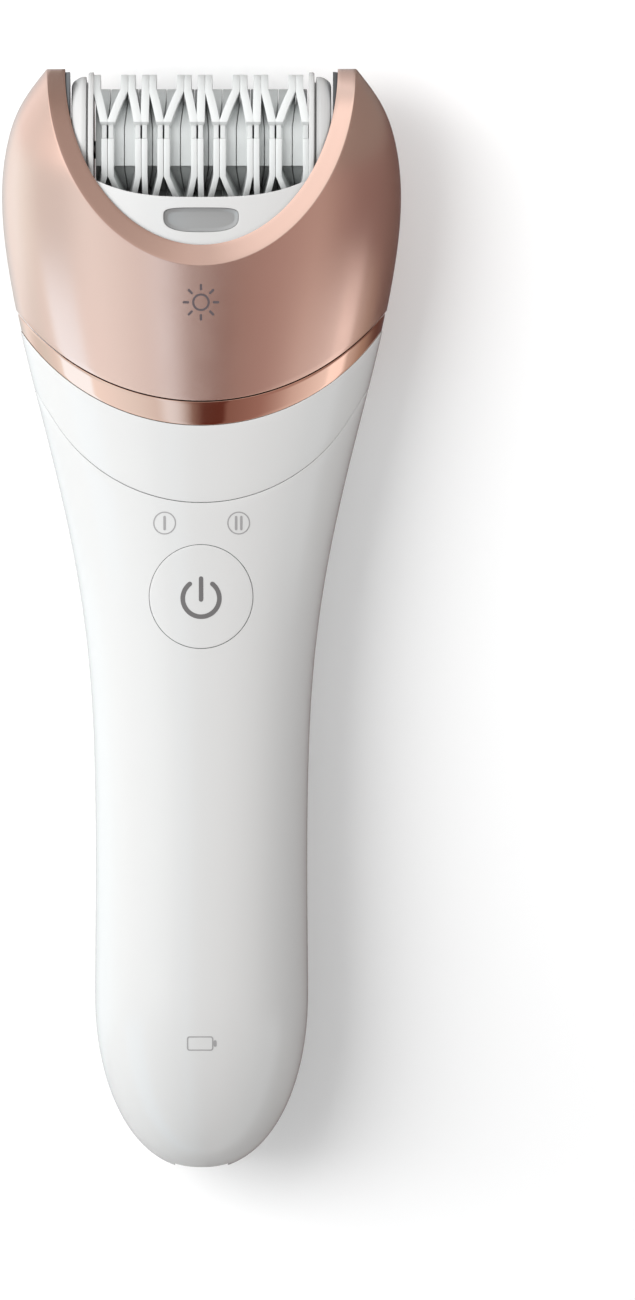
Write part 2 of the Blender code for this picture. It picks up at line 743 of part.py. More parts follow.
def head_frame():
    """The white saddle under the drum, with the pocket for the light."""
    bm = filled_body(head_wall(GAP), 55.0, 73.5, 6, 40)
    saddle = new_part("head_frame", bm, "head_carrier", "white_plastic")
    half = PLATE_X[0] - GAP
    boolean(saddle, new_cutter("saddle_sides", block((-half, 50, -1), (half, 80, 40))), "INTERSECT")
    drum = cylinder((-40, DRUM_Y, AXIS_Z), (40, DRUM_Y, AXIS_Z), DRUM_CAVITY_RADIUS, segments=40)
    boolean(saddle, new_cutter("drum_cavity", drum))
    edge = [(x, 70.0 + 2.75 * (abs(x) / 17.3) ** 3) for x in np.linspace(-22.5, 22.5, 13)]
    rim = flat_outline("saddle_rim", [[(-22.5, 95.0)] + edge + [(22.5, 95.0)]], 60.0)
    CUTTERS.objects.link(rim)
    rim.location.z = AXIS_Z * MM
    rim = to_mesh(rim)
    rim.hide_render = True
    rim.display_type = "WIRE"
    boolean(saddle, rim)
    under = block((-20.6, 50, AXIS_Z - 12.4), (20.6, 61.2, AXIS_Z + 12.4))
    boolean(saddle, new_cutter("saddle_hollow", under))
    boolean(saddle, CUT["lens_hole"])
    pocket = block((-5.3, 62.6, AXIS_Z + 9.2), (5.3, 67.6, AXIS_Z + 15.2))
    boolean(saddle, new_cutter("light_pocket", pocket))


def skin_light():
    """The lens in the saddle, with its lamp behind it."""
    bm = pill_prism(6.2, 2.25, (0.0, LENS_Y), AXIS_Z + 13.0, AXIS_Z + 22)
    lens = new_part("light_lens", bm, "head_carrier", "clear_grey")
    face = filled_body(head_wall(GAP + 0.5), 60.0, 72.0, 4, 40)
    boolean(lens, new_cutter("lens_face", face), "INTERSECT")
    plate = block((-5.0, 62.9, AXIS_Z + 9.5), (5.0, 67.3, AXIS_Z + 10.3))
    new_part("light_board", plate, "head_carrier", "board")
    lamp = block((-1.4, 64.2, AXIS_Z + 10.6), (1.4, 66.6, AXIS_Z + 11.6))
    new_part("light_emitter", lamp, "head_carrier", "clear_grey")


def pill_prism(half_u, half_v, centre, low, high):
    """A slot outline in the XY plane, extruded along Z."""
    bm = bmesh.new()
    bottom = [bm.verts.new((u, v, low)) for u, v in pill(half_u, half_v, centre)]
    face = bm.faces.new(bottom)
    made = bmesh.ops.extrude_face_region(bm, geom=[face])
    lifted = [item for item in made["geom"] if isinstance(item, bmesh.types.BMVert)]
    bmesh.ops.translate(bm, verts=lifted, vec=(0, 0, high - low))
    return bm


def head_base():
    """The plug that goes down into the collar, with two posts that hold the countershaft."""
    low, floor, high = 29.0, 30.8, 40.0
    half_x, half_z = 21.6, 12.6
    outline = rounded_section(half_x, half_z, 28)
    plug = to_mesh(
        flat_part(
            "head_base",
            [outline],
            high - low,
            (0, (low + high) / 2, AXIS_Z),
            TURN_NORMAL_Y,
            "head_carrier",
            "inner_plastic",
        )
    )
    hollow = flat_outline("plug_hollow", [rounded_section(half_x - 1.6, half_z - 1.6, 28)], 20.0)
    CUTTERS.objects.link(hollow)
    hollow.location = Vector((0, floor + 10.0, AXIS_Z)) * MM
    hollow.rotation_euler = TURN_NORMAL_Y
    hollow = to_mesh(hollow)
    hollow.hide_render = True
    hollow.display_type = "WIRE"
    boolean(plug, hollow)
    pinion_hole = cylinder((0, low - 1, AXIS_Z), (0, floor + 1, AXIS_Z), 5.6, segments=20)
    boolean(plug, new_cutter("pinion_hole", pinion_hole))
    for side, x in (("left", -1), ("right", 1)):
        ends = sorted((x * 17.6, x * 20.2))
        post = block((ends[0], floor - 0.6, AXIS_Z - 4.5), (ends[1], 60.8, AXIS_Z + 4.5))
        boolean(plug, new_cutter(f"post_{side}", post), "UNION")
    bearing = cylinder((-19.0, COUNTER_Y, AXIS_Z), (25, COUNTER_Y, AXIS_Z), SHAFT_RADIUS + GAP, segments=16)
    bearing_end = cylinder((-25, COUNTER_Y, AXIS_Z), (-17, COUNTER_Y, AXIS_Z), SHAFT_RADIUS + GAP, segments=16)
    boolean(plug, new_cutter("bearing_right", bearing))
    boolean(plug, new_cutter("bearing_left", bearing_end))


def rounded_section(half_u, half_v, count):
    """A superellipse outline."""
    points = []
    for angle in around(count):
        u, v = math.cos(angle), math.sin(angle)
        points.append(
            (
                math.copysign(abs(u) ** (2 / SQUARENESS), u) * half_u,
                math.copysign(abs(v) ** (2 / SQUARENESS), v) * half_v,
            )
        )
    return points


def side_plates():
    """Upright plates in the horns that carry the spindle and the gears."""
    radius, low, high = 9.2, 50.0, 76.0
    outline = []
    for centre, start in ((high, 0.0), (low, 180.0)):
        for k in range(9):
            angle = math.radians(start + 180.0 * k / 8)
            outline.append((radius * math.cos(angle), centre + radius * math.sin(angle)))
    thickness = PLATE_X[1] - PLATE_X[0]
    middle = (PLATE_X[0] + PLATE_X[1]) / 2
    spindle_hole = circle(SPINDLE_RADIUS + GAP, 16, (0.0, DRUM_Y))
    shaft_holes = [circle(SHAFT_RADIUS + GAP, 16, (0.0, y)) for y in (COUNTER_Y, IDLER_Y)]
    for name, side, holes in (
        ("side_plate_left", -1, [spindle_hole]),
        ("side_plate_right", 1, [spindle_hole] + shaft_holes),
    ):
        centre = (side * middle, 0, AXIS_Z)
        flat_part(name, [outline] + holes, thickness, centre, TURN_NORMAL_X, "head_carrier", "steel")


# ---------------------------------------------------------------- drum


def disc_angles():
    """Steps round a disc, with one at each end of every closed stretch."""
    quarter = [-TOP_FLAT, -TOP_FLAT / 2, 0.0, TOP_FLAT / 2]
    rise = (90.0 - FRONT_FLAT - TOP_FLAT) / 3
    quarter += [TOP_FLAT + rise * k for k in range(3)]
    quarter += [90.0 - FRONT_FLAT, 90.0]
    quarter += [90.0 + FRONT_FLAT + rise * k for k in range(3)]
    return [math.radians(angle + turn) for turn in (0.0, 180.0) for angle in quarter]


def rim_place(angle, at_top, at_front):
    """Where a disc's rim stands at an angle from +Y towards +Z: its two closed places, and between them."""
    from_top = abs((math.degrees(angle) + 90.0) % 180.0 - 90.0)
    share = (from_top - TOP_FLAT) / (90.0 - FRONT_FLAT - TOP_FLAT)
    return at_top + (at_front - at_top) * min(max(share, 0.0), 1.0)


def all_places():
    """Every disc's two rim places, from left to right."""
    places = [(top - 2 * UNIT_PITCH, front - 2 * UNIT_PITCH) for top, front in DISC_PLACES[2:]]
    for unit in (-1, 0, 1):
        places += [(top + unit * UNIT_PITCH, front + unit * UNIT_PITCH) for top, front in DISC_PLACES]
    first_top, first_front = DISC_PLACES[0]
    places.append((first_top + 2 * UNIT_PITCH, first_front + 2 * UNIT_PITCH))
    return places


def tweezer_discs():
    places = all_places()
    middles = [(top + front) / 2 for top, front in places]
    borders = [(a + b) / 2 for a, b in zip(middles, middles[1:])]
    borders = [middles[0] - 0.9] + borders + [middles[-1] + 0.9]
    bore = SPINDLE_RADIUS + GAP
    half = DISC_THICKNESS / 2
    for number, (at_top, at_front) in enumerate(places, start=1):
        left, right = borders[number - 1] + GAP / 2, borders[number] - GAP / 2
        sections = []
        for angle in disc_angles():
            rim = rim_place(angle, at_top, at_front)
            section = [(left, bore), (right, bore), (right, DISC_HUB_RADIUS)]
            section += [(rim + half, DISC_RADIUS), (rim - half, DISC_RADIUS), (left, DISC_HUB_RADIUS)]
            y, z = math.cos(angle), math.sin(angle)
            sections.append([(x, DRUM_Y + r * y, AXIS_Z + r * z) for x, r in section])
        new_part(f"tweezer_disc_{number:02d}", ring_loft(sections), "drum_axis", "disc_plastic")


def drum_ends():
    """The spindle and the two hubs that close the drum, each with a ring flange."""
    spindle = cylinder((-23.4, DRUM_Y, AXIS_Z), (25.2, DRUM_Y, AXIS_Z), SPINDLE_RADIUS, segments=16)
    new_part("spindle", spindle, "drum_axis", "steel")
    bore = SPINDLE_RADIUS + GAP
    profile = [(bore, 21.7), (10.6, 21.7), (11.7, 20.7), (12.1, 20.2), (12.1, 19.7), (12.8, 19.4)]
    profile += [(12.8, 18.4), (12.2, 18.1), (bore, 18.1)]
    for name, side in (("end_hub_left", -1), ("end_hub_right", 1)):
        centre = (0, DRUM_Y, AXIS_Z)
        turned(name, profile, centre, (side, 0, 0), "drum_axis", "white_plastic", 20)


# ---------------------------------------------------------------- build

clear_scene()
PARTS = make_collection("epilator")
CUTTERS = make_collection("cutters")
MATERIALS = {name: make_material(name) for name in COLOURS}
CARRIERS = make_carriers()
CUT = {
    "socket_recess": new_cutter(
        "socket_recess",
        block(
            (-SOCKET_HALF[0], -95.0, AXIS_Z - SOCKET_HALF[1]),
            (SOCKET_HALF[0], -84.0, AXIS_Z + SOCKET_HALF[1]),
        ),
    ),
    "release_slot": new_cutter(
        "release_slot", pill_prism(5.5 + GAP, 2.6 + GAP, (0.0, RELEASE_Y), -3.0, 9.0)
    ),
    "lens_hole": new_cutter(
        "lens_hole", pill_prism(6.2 + GAP, 2.25 + GAP, (0.0, LENS_Y), AXIS_Z + 12.6, AXIS_Z + 22)
    ),
}

front_shell()
rear_shell()
upper_collar()
accent_ring()
head_shell()
socket()
battery()
circuit_board()
button_switch()
status_lights()
motor()
bulkhead()
power_button()
release_button()
gear_train()
head_frame()
skin_light()
head_base()
side_plates()
tweezer_discs()
drum_ends()
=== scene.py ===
"""Looks of the cordless epilator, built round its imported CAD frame.

The epilator lies on its back with its front up: +X is its right, +Y points to its head and +Z is up.
Sizes are in millimetres and become metres when a mesh is made. The outer casings, the tweezer drum,
the buttons, the lens and the printed marks are made here. The other CAD nodes keep their shape and get
a finish.
"""

import math

import bmesh
import bpy
import numpy as np
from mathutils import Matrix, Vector


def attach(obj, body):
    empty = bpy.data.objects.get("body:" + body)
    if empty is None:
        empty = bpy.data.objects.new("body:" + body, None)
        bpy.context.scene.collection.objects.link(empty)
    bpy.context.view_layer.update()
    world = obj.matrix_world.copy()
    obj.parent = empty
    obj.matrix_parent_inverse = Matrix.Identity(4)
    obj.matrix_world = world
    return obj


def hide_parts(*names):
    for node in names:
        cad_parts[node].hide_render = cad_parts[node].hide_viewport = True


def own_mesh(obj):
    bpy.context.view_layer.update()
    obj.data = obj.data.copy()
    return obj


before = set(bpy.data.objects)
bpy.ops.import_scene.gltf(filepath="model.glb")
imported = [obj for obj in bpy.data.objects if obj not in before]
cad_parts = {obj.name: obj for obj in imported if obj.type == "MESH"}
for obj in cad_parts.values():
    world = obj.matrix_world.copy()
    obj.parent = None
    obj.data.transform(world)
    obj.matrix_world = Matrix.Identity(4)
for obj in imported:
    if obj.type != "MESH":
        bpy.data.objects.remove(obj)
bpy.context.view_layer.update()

MM = 0.001
GAP = 0.3  # between pieces that touch

# The outside of the body, as in the CAD part: half widths and depths along Y
HALF_LENGTH = 91.67
AXIS_Z = 17.5
SQUARENESS = 2.4
CAP_START = -62.0
CAP_IN, CAP_OUT = 2.1, 2.2
WIDTH_KEYS = [
    (-91.67, 17.75), (-62.0, 17.75), (-25.0, 17.8), (-8.0, 18.7), (10.0, 21.2), (28.0, 25.2),
    (46.0, 29.7), (58.0, 32.1), (69.5, 33.25), (79.0, 32.4), (86.5, 29.6), (91.67, 25.8),
]
FRONT_KEYS = [
    (-91.67, 13.6), (-62.0, 14.9), (-35.0, 14.6), (-12.0, 14.2), (8.0, 14.8), (28.0, 16.2),
    (48.0, 17.7), (60.0, 18.4), (69.5, 18.5), (79.0, 17.3), (86.5, 14.4), (91.67, 11.0),
]
BACK_KEYS = [
    (-91.67, 14.5), (-62.0, 17.2), (-45.0, 18.1), (-20.0, 16.2), (5.0, 15.6), (25.0, 16.3),
    (42.0, 17.9), (52.0, 18.4), (69.5, 18.2), (79.0, 17.2), (86.5, 14.3), (91.67, 11.0),
]

# Seams: arcs seen from the front, as the radius and the lowest point
HEAD_SEAM = (39.0, 36.1)
RING_SEAM = (36.5, 32.1)
COLLAR_SEAM = (28.7, 19.3)
STEEP_SHARE = 0.84  # of the radius, where an arc runs straight on
SEAM_LINE = 0.08  # the width of a joint between casings, as it shows
HEAD_LINE = 0.2  # the width of the joint under the head
SEAM_ROLL = 0.1  # the rounding of an edge at a seam
PARTING_ROLL = 0.12  # the rounding along the line where the front and rear casings meet

# Walls and the mouth of the head
WALL = 2.0
RING_INSET = 0.15
HEAD_WALL_SIDE, HEAD_WALL_FRONT = 2.2, 1.8
HORN_WALL = 3.2
HORN_WALL_START = 50.0
MOUTH_OUTER = (25.8, 33.0)
MOUTH_INNER = (22.6, 29.5)
MOUTH_ROLL = 0.16

# Saddle
SADDLE_SPAN = (55.0, 73.5)
SADDLE_EDGE = (70.0, 2.75, 17.3)  # its lowest y, and how far it rises at what distance from the middle
SADDLE_BEVEL = 0.28
SADDLE_HOLLOW = (20.6, 12.4, 50, 61.2)  # half its width, half its depth and its ends
LIGHT_POCKET = (5.3, 62.6, 67.6, 9.2, 15.2)  # half its width, its ends and its heights over the axis

# Drum
DRUM_Y = 78.2
DRUM_CAVITY_RADIUS = 13.4
UNIT_PITCH = 9.3
DISC_PLACES = [(-2.32, -1.2), (0.05, -0.1), (1.15, 2.5), (5.88, 3.6)]
DISC_HUB_RADIUS = 10.1
TOP_CLOSED = 37.0  # half the angle over which a pair of rims stays closed at the top
FRONT_CLOSED = (70.0, 113.0)  # the angles between which the other pairs are closed in front
# A rim's radius, its half width towards its partner and its half width on the other side
RIM_TOP, RIM_NOTCH, RIM_FRONT = (12.5, 0.54, 0.68), (11.5, 0.4, 0.4), (12.0, 0.52, 0.48)
PAIR_REACH = 1.3  # rims nearer than this make a pair
RIM_NOTCH_END = 82.0
RIM_DEPTH = 0.7
BLADE_HALF = 0.42
BLADE_LEAN = 0.8  # how far a blade's foot follows its rim to the side
RECESS_ANGLES = (107.0, 146.0)
RECESS_RADIUS = 8.4
SPINDLE_BORE = 1.8
DISC_SEAM, END_MARGIN = 0.12, 0.75
# The end hub's section: radius and distance from the middle, from the bore round to the bore
HUB_PROFILE = [
    (SPINDLE_BORE, 21.6), (8.0, 21.6), (10.6, 21.6), (11.2, 21.4), (11.6, 20.95), (11.95, 20.4),
    (12.15, 19.9), (12.15, 19.15), (11.2, 19.05), (11.2, 18.85), (12.75, 18.8), (12.9, 18.6),
    (12.9, 17.95), (12.6, 17.9), (11.4, 17.9), (SPINDLE_BORE, 17.9),
]

# Controls, lights and openings
BUTTON_Y, BUTTON_RADIUS, BUTTON_BOTTOM = 3.7, 8.6, AXIS_Z + 12.6
SOCKET_HALF, SOCKET_SPAN = (4.4, 2.6), (-95.0, -84.0)
RELEASE_Y, RELEASE_HALF = 23.5, (5.5, 2.6)
RELEASE_FACE, RELEASE_TOP, RELEASE_ROLL = 0.7, 4.3, 0.35
RELEASE_DISH, DISH_REACH = 0.4, 2.2  # how deep its dish is, and how far in from its edge
SPRING_TURNS, SPRING_RADIUS, SPRING_WIRE = 4, 1.5, 0.2
SPRING_LOW, SPRING_HIGH = 4.6, 8.6  # the middle of the wire at its ends
SPRING_CLOSED = 0.2  # the share of the wire in each closed end turn
CLOSED_RISE = 2.1 * SPRING_WIRE  # of the whole wire, if it were wound as close as its ends
LENS_Y, LENS_HALF_WIDTH, LENS_RISE, LENS_DROP = 66.6, 6.2, 1.6, 2.4
LENS_SQUARENESS = (4.5, 2.7)
LENS_RIM, LENS_DISH = 0.6, 0.4  # the slanted rim's width, and how far it falls
LENS_UNDER, LENS_PROUD = HEAD_WALL_FRONT + GAP + 0.5, 0.05  # moved in from the cover's outside, then up
LENS_BOTTOM = AXIS_Z + 13.0
PLATE_X = 22.2
LINING_OUT, LINING_IN = 0.9, 0.3  # how far the horn's lining reaches either side of the plate


# ---- the body's surface


def natural_spline(keys):
    """A smooth curve through (y, value) keys, as a function of an array of y."""
    ys, values = np.array(keys).T
    step = np.diff(ys)
    slope = np.diff(values) / step
    system = np.eye(len(ys))
    right = np.zeros(len(ys))
    for i in range(1, len(ys) - 1):
        system[i, i - 1 : i + 2] = step[i - 1], 2 * (step[i - 1] + step[i]), step[i]
        right[i] = 6 * (slope[i] - slope[i - 1])
    bend = np.linalg.solve(system, right)

    def value(y):
        i = np.clip(np.searchsorted(ys, y) - 1, 0, len(ys) - 2)
        after, before = ys[i + 1] - y, y - ys[i]
        curve = (bend[i] * after**3 + bend[i + 1] * before**3) / (6 * step[i])
        low = (values[i] / step[i] - bend[i] * step[i] / 6) * after
        high = (values[i + 1] / step[i] - bend[i + 1] * step[i] / 6) * before
        return curve + low + high

    return value


half_width = natural_spline(WIDTH_KEYS)
front_depth = natural_spline(FRONT_KEYS)
back_depth = natural_spline(BACK_KEYS)


def closing(y, inset):
    """1 along the body, and down to 0 at the handle's round end."""
    along = np.clip((CAP_START - y) / (CAP_START + HALF_LENGTH - inset), 0.0, 1.0)
    return (1.0 - along**CAP_IN) ** (1.0 / CAP_OUT)


def signed_power(value, power):
    return np.sign(value) * np.abs(value) ** power


def body_point(angle, y, inset=(0.0, 0.0)):
    """Points at y and at angles from +X towards +Z, on the surface moved in by (across, up)."""
    angle, y = np.broadcast_arrays(angle, y)
    up = np.sin(angle)
    up[np.abs(up) < 1e-9] = 0.0
    depth = np.where(up >= 0.0, front_depth(y), back_depth(y))
    shrink = closing(y, inset[1])
    x = signed_power(np.cos(angle), 2 / SQUARENESS) * (half_width(y) - inset[0]) * shrink
    z = AXIS_Z + signed_power(up, 2 / SQUARENESS) * (depth - inset[1]) * shrink
    return np.stack((x, y, np.maximum(z, inset[1])), axis=-1)


def front_z(x, y, inset=0.0):
    """The height of the front surface over a point (x, y)."""
    across = np.abs(x) / (half_width(y) - inset)
    arch = np.clip(1.0 - across**SQUARENESS, 0.0, 1.0) ** (1.0 / SQUARENESS)
    return AXIS_Z + (front_depth(y) - inset) * closing(y, inset) * arch


def head_wall(y, extra=0.0):
    """How far the inside of the head shell lies under its outside, across and up."""
    rise = np.clip((y - HORN_WALL_START) / (HALF_LENGTH - HORN_WALL_START), 0.0, 1.0)
    across = HEAD_WALL_SIDE + (HORN_WALL - HEAD_WALL_SIDE) * rise + extra
    return across, HEAD_WALL_FRONT + extra


def arc_height(x, arc):
    """The height of a seam's arc at x. It runs straight on where it would turn too steep."""
    radius, lowest = arc
    steep = STEEP_SHARE * radius
    bent = np.minimum(np.abs(x), steep)
    drop = np.sqrt(radius**2 - bent**2)
    return lowest + radius - drop + (np.abs(x) - bent) * steep / drop


def crossing(below, low, high):
    """For each column, the y up to which below(y) holds."""
    for _ in range(42):
        middle = (low + high) / 2
        under = below(middle)
        low = np.where(under, middle, low)
        high = np.where(under, high, middle)
    return (low + high) / 2


def seam_height(angle, arc, shift, inset=(0.0, 0.0)):
    """Where the columns at these angles cross a seam's edge, moved along Y by shift."""
    low = np.zeros_like(angle)

    def below(y):
        return y < arc_height(body_point(angle, y, inset)[..., 0], arc) + shift

    return crossing(below, low, low + HALF_LENGTH)


def climb(points):
    """The Y step along a column that moves 1 mm square away from an edge through these points."""
    along = np.roll(points, -1, axis=0) - np.roll(points, 1, axis=0)
    share = along[:, 1] / np.linalg.norm(along, axis=1)
    return 1.0 / np.sqrt(np.maximum(1.0 - share**2, 0.15))


# ---- making meshes


def collect(points, faces, name):
    """A mesh object from points in mm, its faces turned out and its doubles merged."""
    mesh = bpy.data.meshes.new(name)
    mesh.from_pydata((np.asarray(points) * MM).tolist(), [], faces)
    bm = bmesh.new()
    bm.from_mesh(mesh)
    bmesh.ops.remove_doubles(bm, verts=bm.verts, dist=0.000002)
    bmesh.ops.dissolve_degenerate(bm, edges=bm.edges, dist=0.000001)
    bmesh.ops.recalc_face_normals(bm, faces=bm.faces)
    if bm.calc_volume(signed=True) < 0.0:
        bmesh.ops.reverse_faces(bm, faces=bm.faces)
    bm.to_mesh(mesh)
    bm.free()
    obj = bpy.data.objects.new(name, mesh)
    bpy.context.scene.collection.objects.link(obj)
    return obj


def smooth(obj, angle=38.0):
    """The object itself, shaded smooth except at edges sharper than angle, in degrees."""
    obj.data.shade_smooth()
    obj.data.set_sharp_from_angle(angle=math.radians(angle))
    return obj


def tube_faces(count, size, closed, base=0):
    """Faces through count sections of size points, numbered from base: a ring, or a bar with ends."""
    faces = []
    for i in range(count if closed else count - 1):
        j = (i + 1) % count
        for k in range(size):
            n = (k + 1) % size
            faces.append((i * size + k, j * size + k, j * size + n, i * size + n))
    if not closed:
        faces += [range(size), range((count - 1) * size, count * size)]
    return [tuple(base + corner for corner in face) for face in faces]


def loft(sections, name, closed=True):
    """A solid through sections of the same number of points: a ring, or a bar with ends."""
    sections = np.asarray(sections)
    return collect(sections.reshape(-1, 3), tube_faces(*sections.shape[:2], closed), name)


def shell(outer, inner, name):
    """A solid between two sheets of columns by rows, stitched along all four edges."""
    columns, rows = outer.shape[:2]
    faces = []

    def at(sheet, i, k):
        return (sheet * columns + i) * rows + k

    for i in range(columns - 1):
        for k in range(rows - 1):
            for sheet in (0, 1):
                corner = [(i, k), (i + 1, k), (i + 1, k + 1), (i, k + 1)]
                faces.append(tuple(at(sheet, *c) for c in corner))
        for k in (0, rows - 1):
            faces.append((at(0, i, k), at(0, i + 1, k), at(1, i + 1, k), at(1, i, k)))
    for k in range(rows - 1):
        for i in (0, columns - 1):
            faces.append((at(0, i, k), at(0, i, k + 1), at(1, i, k + 1), at(1, i, k)))
    return collect(np.concatenate((outer, inner)).reshape(-1, 3), faces, name)


def apply_modifiers(obj):
    graph = bpy.context.evaluated_depsgraph_get()
    mesh = bpy.data.meshes.new_from_object(obj.evaluated_get(graph))
    obj.modifiers.clear()
    obj.data = mesh


def cut(obj, cutters, operation="DIFFERENCE"):
    """Applies EXACT Booleans and deletes their cutters."""
    for cutter in cutters:
        modifier = obj.modifiers.new("cut", "BOOLEAN")
        modifier.operation = operation
        modifier.object = cutter
        modifier.solver = "EXACT"
    bpy.context.view_layer.update()
    apply_modifiers(obj)
    for cutter in cutters:
        bpy.data.objects.remove(cutter, do_unlink=True)


def roll(distance, radius):
    """How far a rounded edge falls back at a distance from the edge."""
    short = np.clip(radius - distance, 0.0, radius)
    return radius - np.sqrt(radius**2 - short**2)


def edge_steps(radius, count=5):
    """Distances from an edge at which to place rows, close together where it is rounded."""
    return [radius * (1.0 - math.cos(math.pi / 2 * k / count)) for k in range(count + 1)]


def bezier(start, corner, end, count):
    """Points from start to end, bent towards a corner."""
    return [
        (1 - t) ** 2 * start + 2 * t * (1 - t) * corner + t**2 * end
        for t in np.linspace(0.0, 1.0, count + 1)
    ]


def circle(radius, centre, count):
    around = [math.tau * k / count for k in range(count)]
    return [(centre[0] + radius * math.cos(a), centre[1] + radius * math.sin(a)) for a in around]


def release_outline(inwards, straight=14, segments=14):
    """The release button seen from the front: its straight sides and round ends, in so many steps."""
    points = []
    radius = RELEASE_HALF[1] - inwards
    reach = RELEASE_HALF[0] - RELEASE_HALF[1]
    for side in (1, -1):
        for k in range(segments):
            angle = math.pi * (k / segments - 0.5)
            x, y = reach + radius * math.cos(angle), radius * math.sin(angle)
            points.append((side * x, RELEASE_Y + side * y))
        for k in range(straight):
            points.append((side * (reach - 2 * reach * k / straight), RELEASE_Y + side * radius))
    return points


def prism(outline, low, high, name):
    """An outline in the XY plane, as a solid from one height to another."""
    return loft([[(*point, z) for point in outline] for z in (low, high)], name, False)


def box_solid(low, high, name):
    (x0, y0, z0), (x1, y1, z1) = low, high
    return prism([(x0, y0), (x1, y0), (x1, y1), (x0, y1)], z0, z1, name)


def axis_box(half_x, half_z, start, end, name):
    """A box centred on the body's axis, from start to end along it."""
    return box_solid((-half_x, start, AXIS_Z - half_z), (half_x, end, AXIS_Z + half_z), name)


# ---- casings

COLUMNS = 84  # round half of a casing
RING_COLUMNS = 216
CAP_ROWS, BODY_ROWS = 30, 48
HEAD_ROWS = 34
MOUTH_ROWS = [1.6, 1.1, 0.75, 0.5, MOUTH_ROLL]  # distances from the mouth's edge


def casing_sheet(front, wall):
    """The outside (wall 0) or the inside of half a handle casing, as columns by rows of points."""
    depth = front_depth if front else back_depth
    lifts = edge_steps(PARTING_ROLL)
    even = list(np.linspace(0.0, 1.0, COLUMNS + 1)[1:-1])
    lift = np.array(lifts + [lifts[-1]] * len(even) + lifts[::-1])[:, None]
    share = np.array([0.0] * len(lifts) + even + [1.0] * len(lifts))[:, None]

    def angles(y):
        reach = np.maximum((depth(y) - wall) * closing(y, wall), 1e-6)
        first = np.arcsin(np.clip((GAP / 2 + lift) / reach, 0.0, 1.0) ** (SQUARENESS / 2))
        angle = first + (math.pi - 2 * first) * share
        return angle if front else -angle

    inset = (wall, wall)
    edge_angle = angles(np.full_like(lift, 28.0))[:, 0]
    top = seam_height(edge_angle, COLLAR_SEAM, -SEAM_LINE / 2, inset)
    points = body_point(edge_angle, top, inset)
    steep = climb(points)
    steep[0] = steep[-1] = steep[1]
    end = -HALF_LENGTH + wall
    cap = end + (CAP_START - end) * (np.arange(CAP_ROWS) / CAP_ROWS) ** 2.2
    steps = np.array(edge_steps(SEAM_ROLL)[::-1])
    below_roll = (top - steep * SEAM_ROLL)[:, None]
    body = CAP_START + (below_roll - CAP_START) * np.linspace(0.0, 1.0, BODY_ROWS)[None, :-1]
    rolled = top[:, None] - steep[:, None] * steps[None, :]
    cap = np.broadcast_to(cap, (len(top), CAP_ROWS))
    y = np.concatenate((cap, body, rolled), axis=1)
    fall = np.zeros_like(y)
    if wall == 0.0:
        from_seam = np.full(y.shape[1], SEAM_ROLL)
        from_seam[-len(steps) :] = steps
        from_parting = np.where((share == 0.0) | (share == 1.0), lift, PARTING_ROLL)
        short_seam = 1.0 - from_seam[None, :] / SEAM_ROLL
        short_parting = 1.0 - from_parting / PARTING_ROLL
        short = np.minimum(np.hypot(short_seam, short_parting), 1.0)
        fall = PARTING_ROLL * (1.0 - np.sqrt(1.0 - short**2))
    sheet = body_point(angles(y), y, (wall + fall, wall + fall))
    bound, way = (np.maximum, 1) if front else (np.minimum, -1)
    sheet[..., 2] = bound(sheet[..., 2], AXIS_Z + way * GAP / 2)
    return sheet


def half_casing(name, front):
    casing = shell(casing_sheet(front, 0.0), casing_sheet(front, WALL), name)
    cutters = [axis_box(*SOCKET_HALF, *SOCKET_SPAN, "socket_recess")]
    if front:
        outline = circle(BUTTON_RADIUS + SEAM_LINE, (0.0, BUTTON_Y), 96)
        cutters.append(prism(outline, AXIS_Z + 8, AXIS_Z + 20, "button_hole"))
    cut(casing, cutters)
    return smooth(casing)


def ring_wall(name, low, high, depth):
    """A band round the body between two seams, each an (arc, shift), at a depth under the surface."""
    angles = math.tau * np.arange(RING_COLUMNS) / RING_COLUMNS
    inset = (depth, depth)
    start, end = seam_height(angles, *low, inset), seam_height(angles, *high, inset)
    start_climb = climb(body_point(angles, start, inset))
    end_climb = climb(body_point(angles, end, inset))
    steps = edge_steps(SEAM_ROLL)
    rows = [(start + start_climb * e, roll(e, SEAM_ROLL)) for e in steps]
    low_row, high_row = start + start_climb * SEAM_ROLL, end - end_climb * SEAM_ROLL
    rows += [(low_row + (high_row - low_row) * k / 8, 0.0) for k in range(1, 8)]
    rows += [(end - end_climb * e, roll(e, SEAM_ROLL)) for e in steps[::-1]]
    sections = [body_point(angles, y, (depth + fall, depth + fall)) for y, fall in rows]
    inner = (WALL, WALL)
    start, end = seam_height(angles, *low, inner), seam_height(angles, *high, inner)
    sections += [body_point(angles, end + (start - end) * k / 5, inner) for k in range(6)]
    return loft(np.stack(sections, axis=1), name)


def collar():
    ring = ring_wall("collar", (COLLAR_SEAM, SEAM_LINE / 2), (RING_SEAM, -SEAM_LINE / 2), 0.0)
    slot = release_outline(-GAP, straight=1, segments=16)
    cut(ring, [prism(slot, -3.0, 9.0, "release_slot")])
    return smooth(ring)


def trim_ring():
    low, high = (RING_SEAM, SEAM_LINE / 2), (HEAD_SEAM, -HEAD_LINE / 2)
    return smooth(ring_wall("trim_ring", low, high, RING_INSET), 60.0)


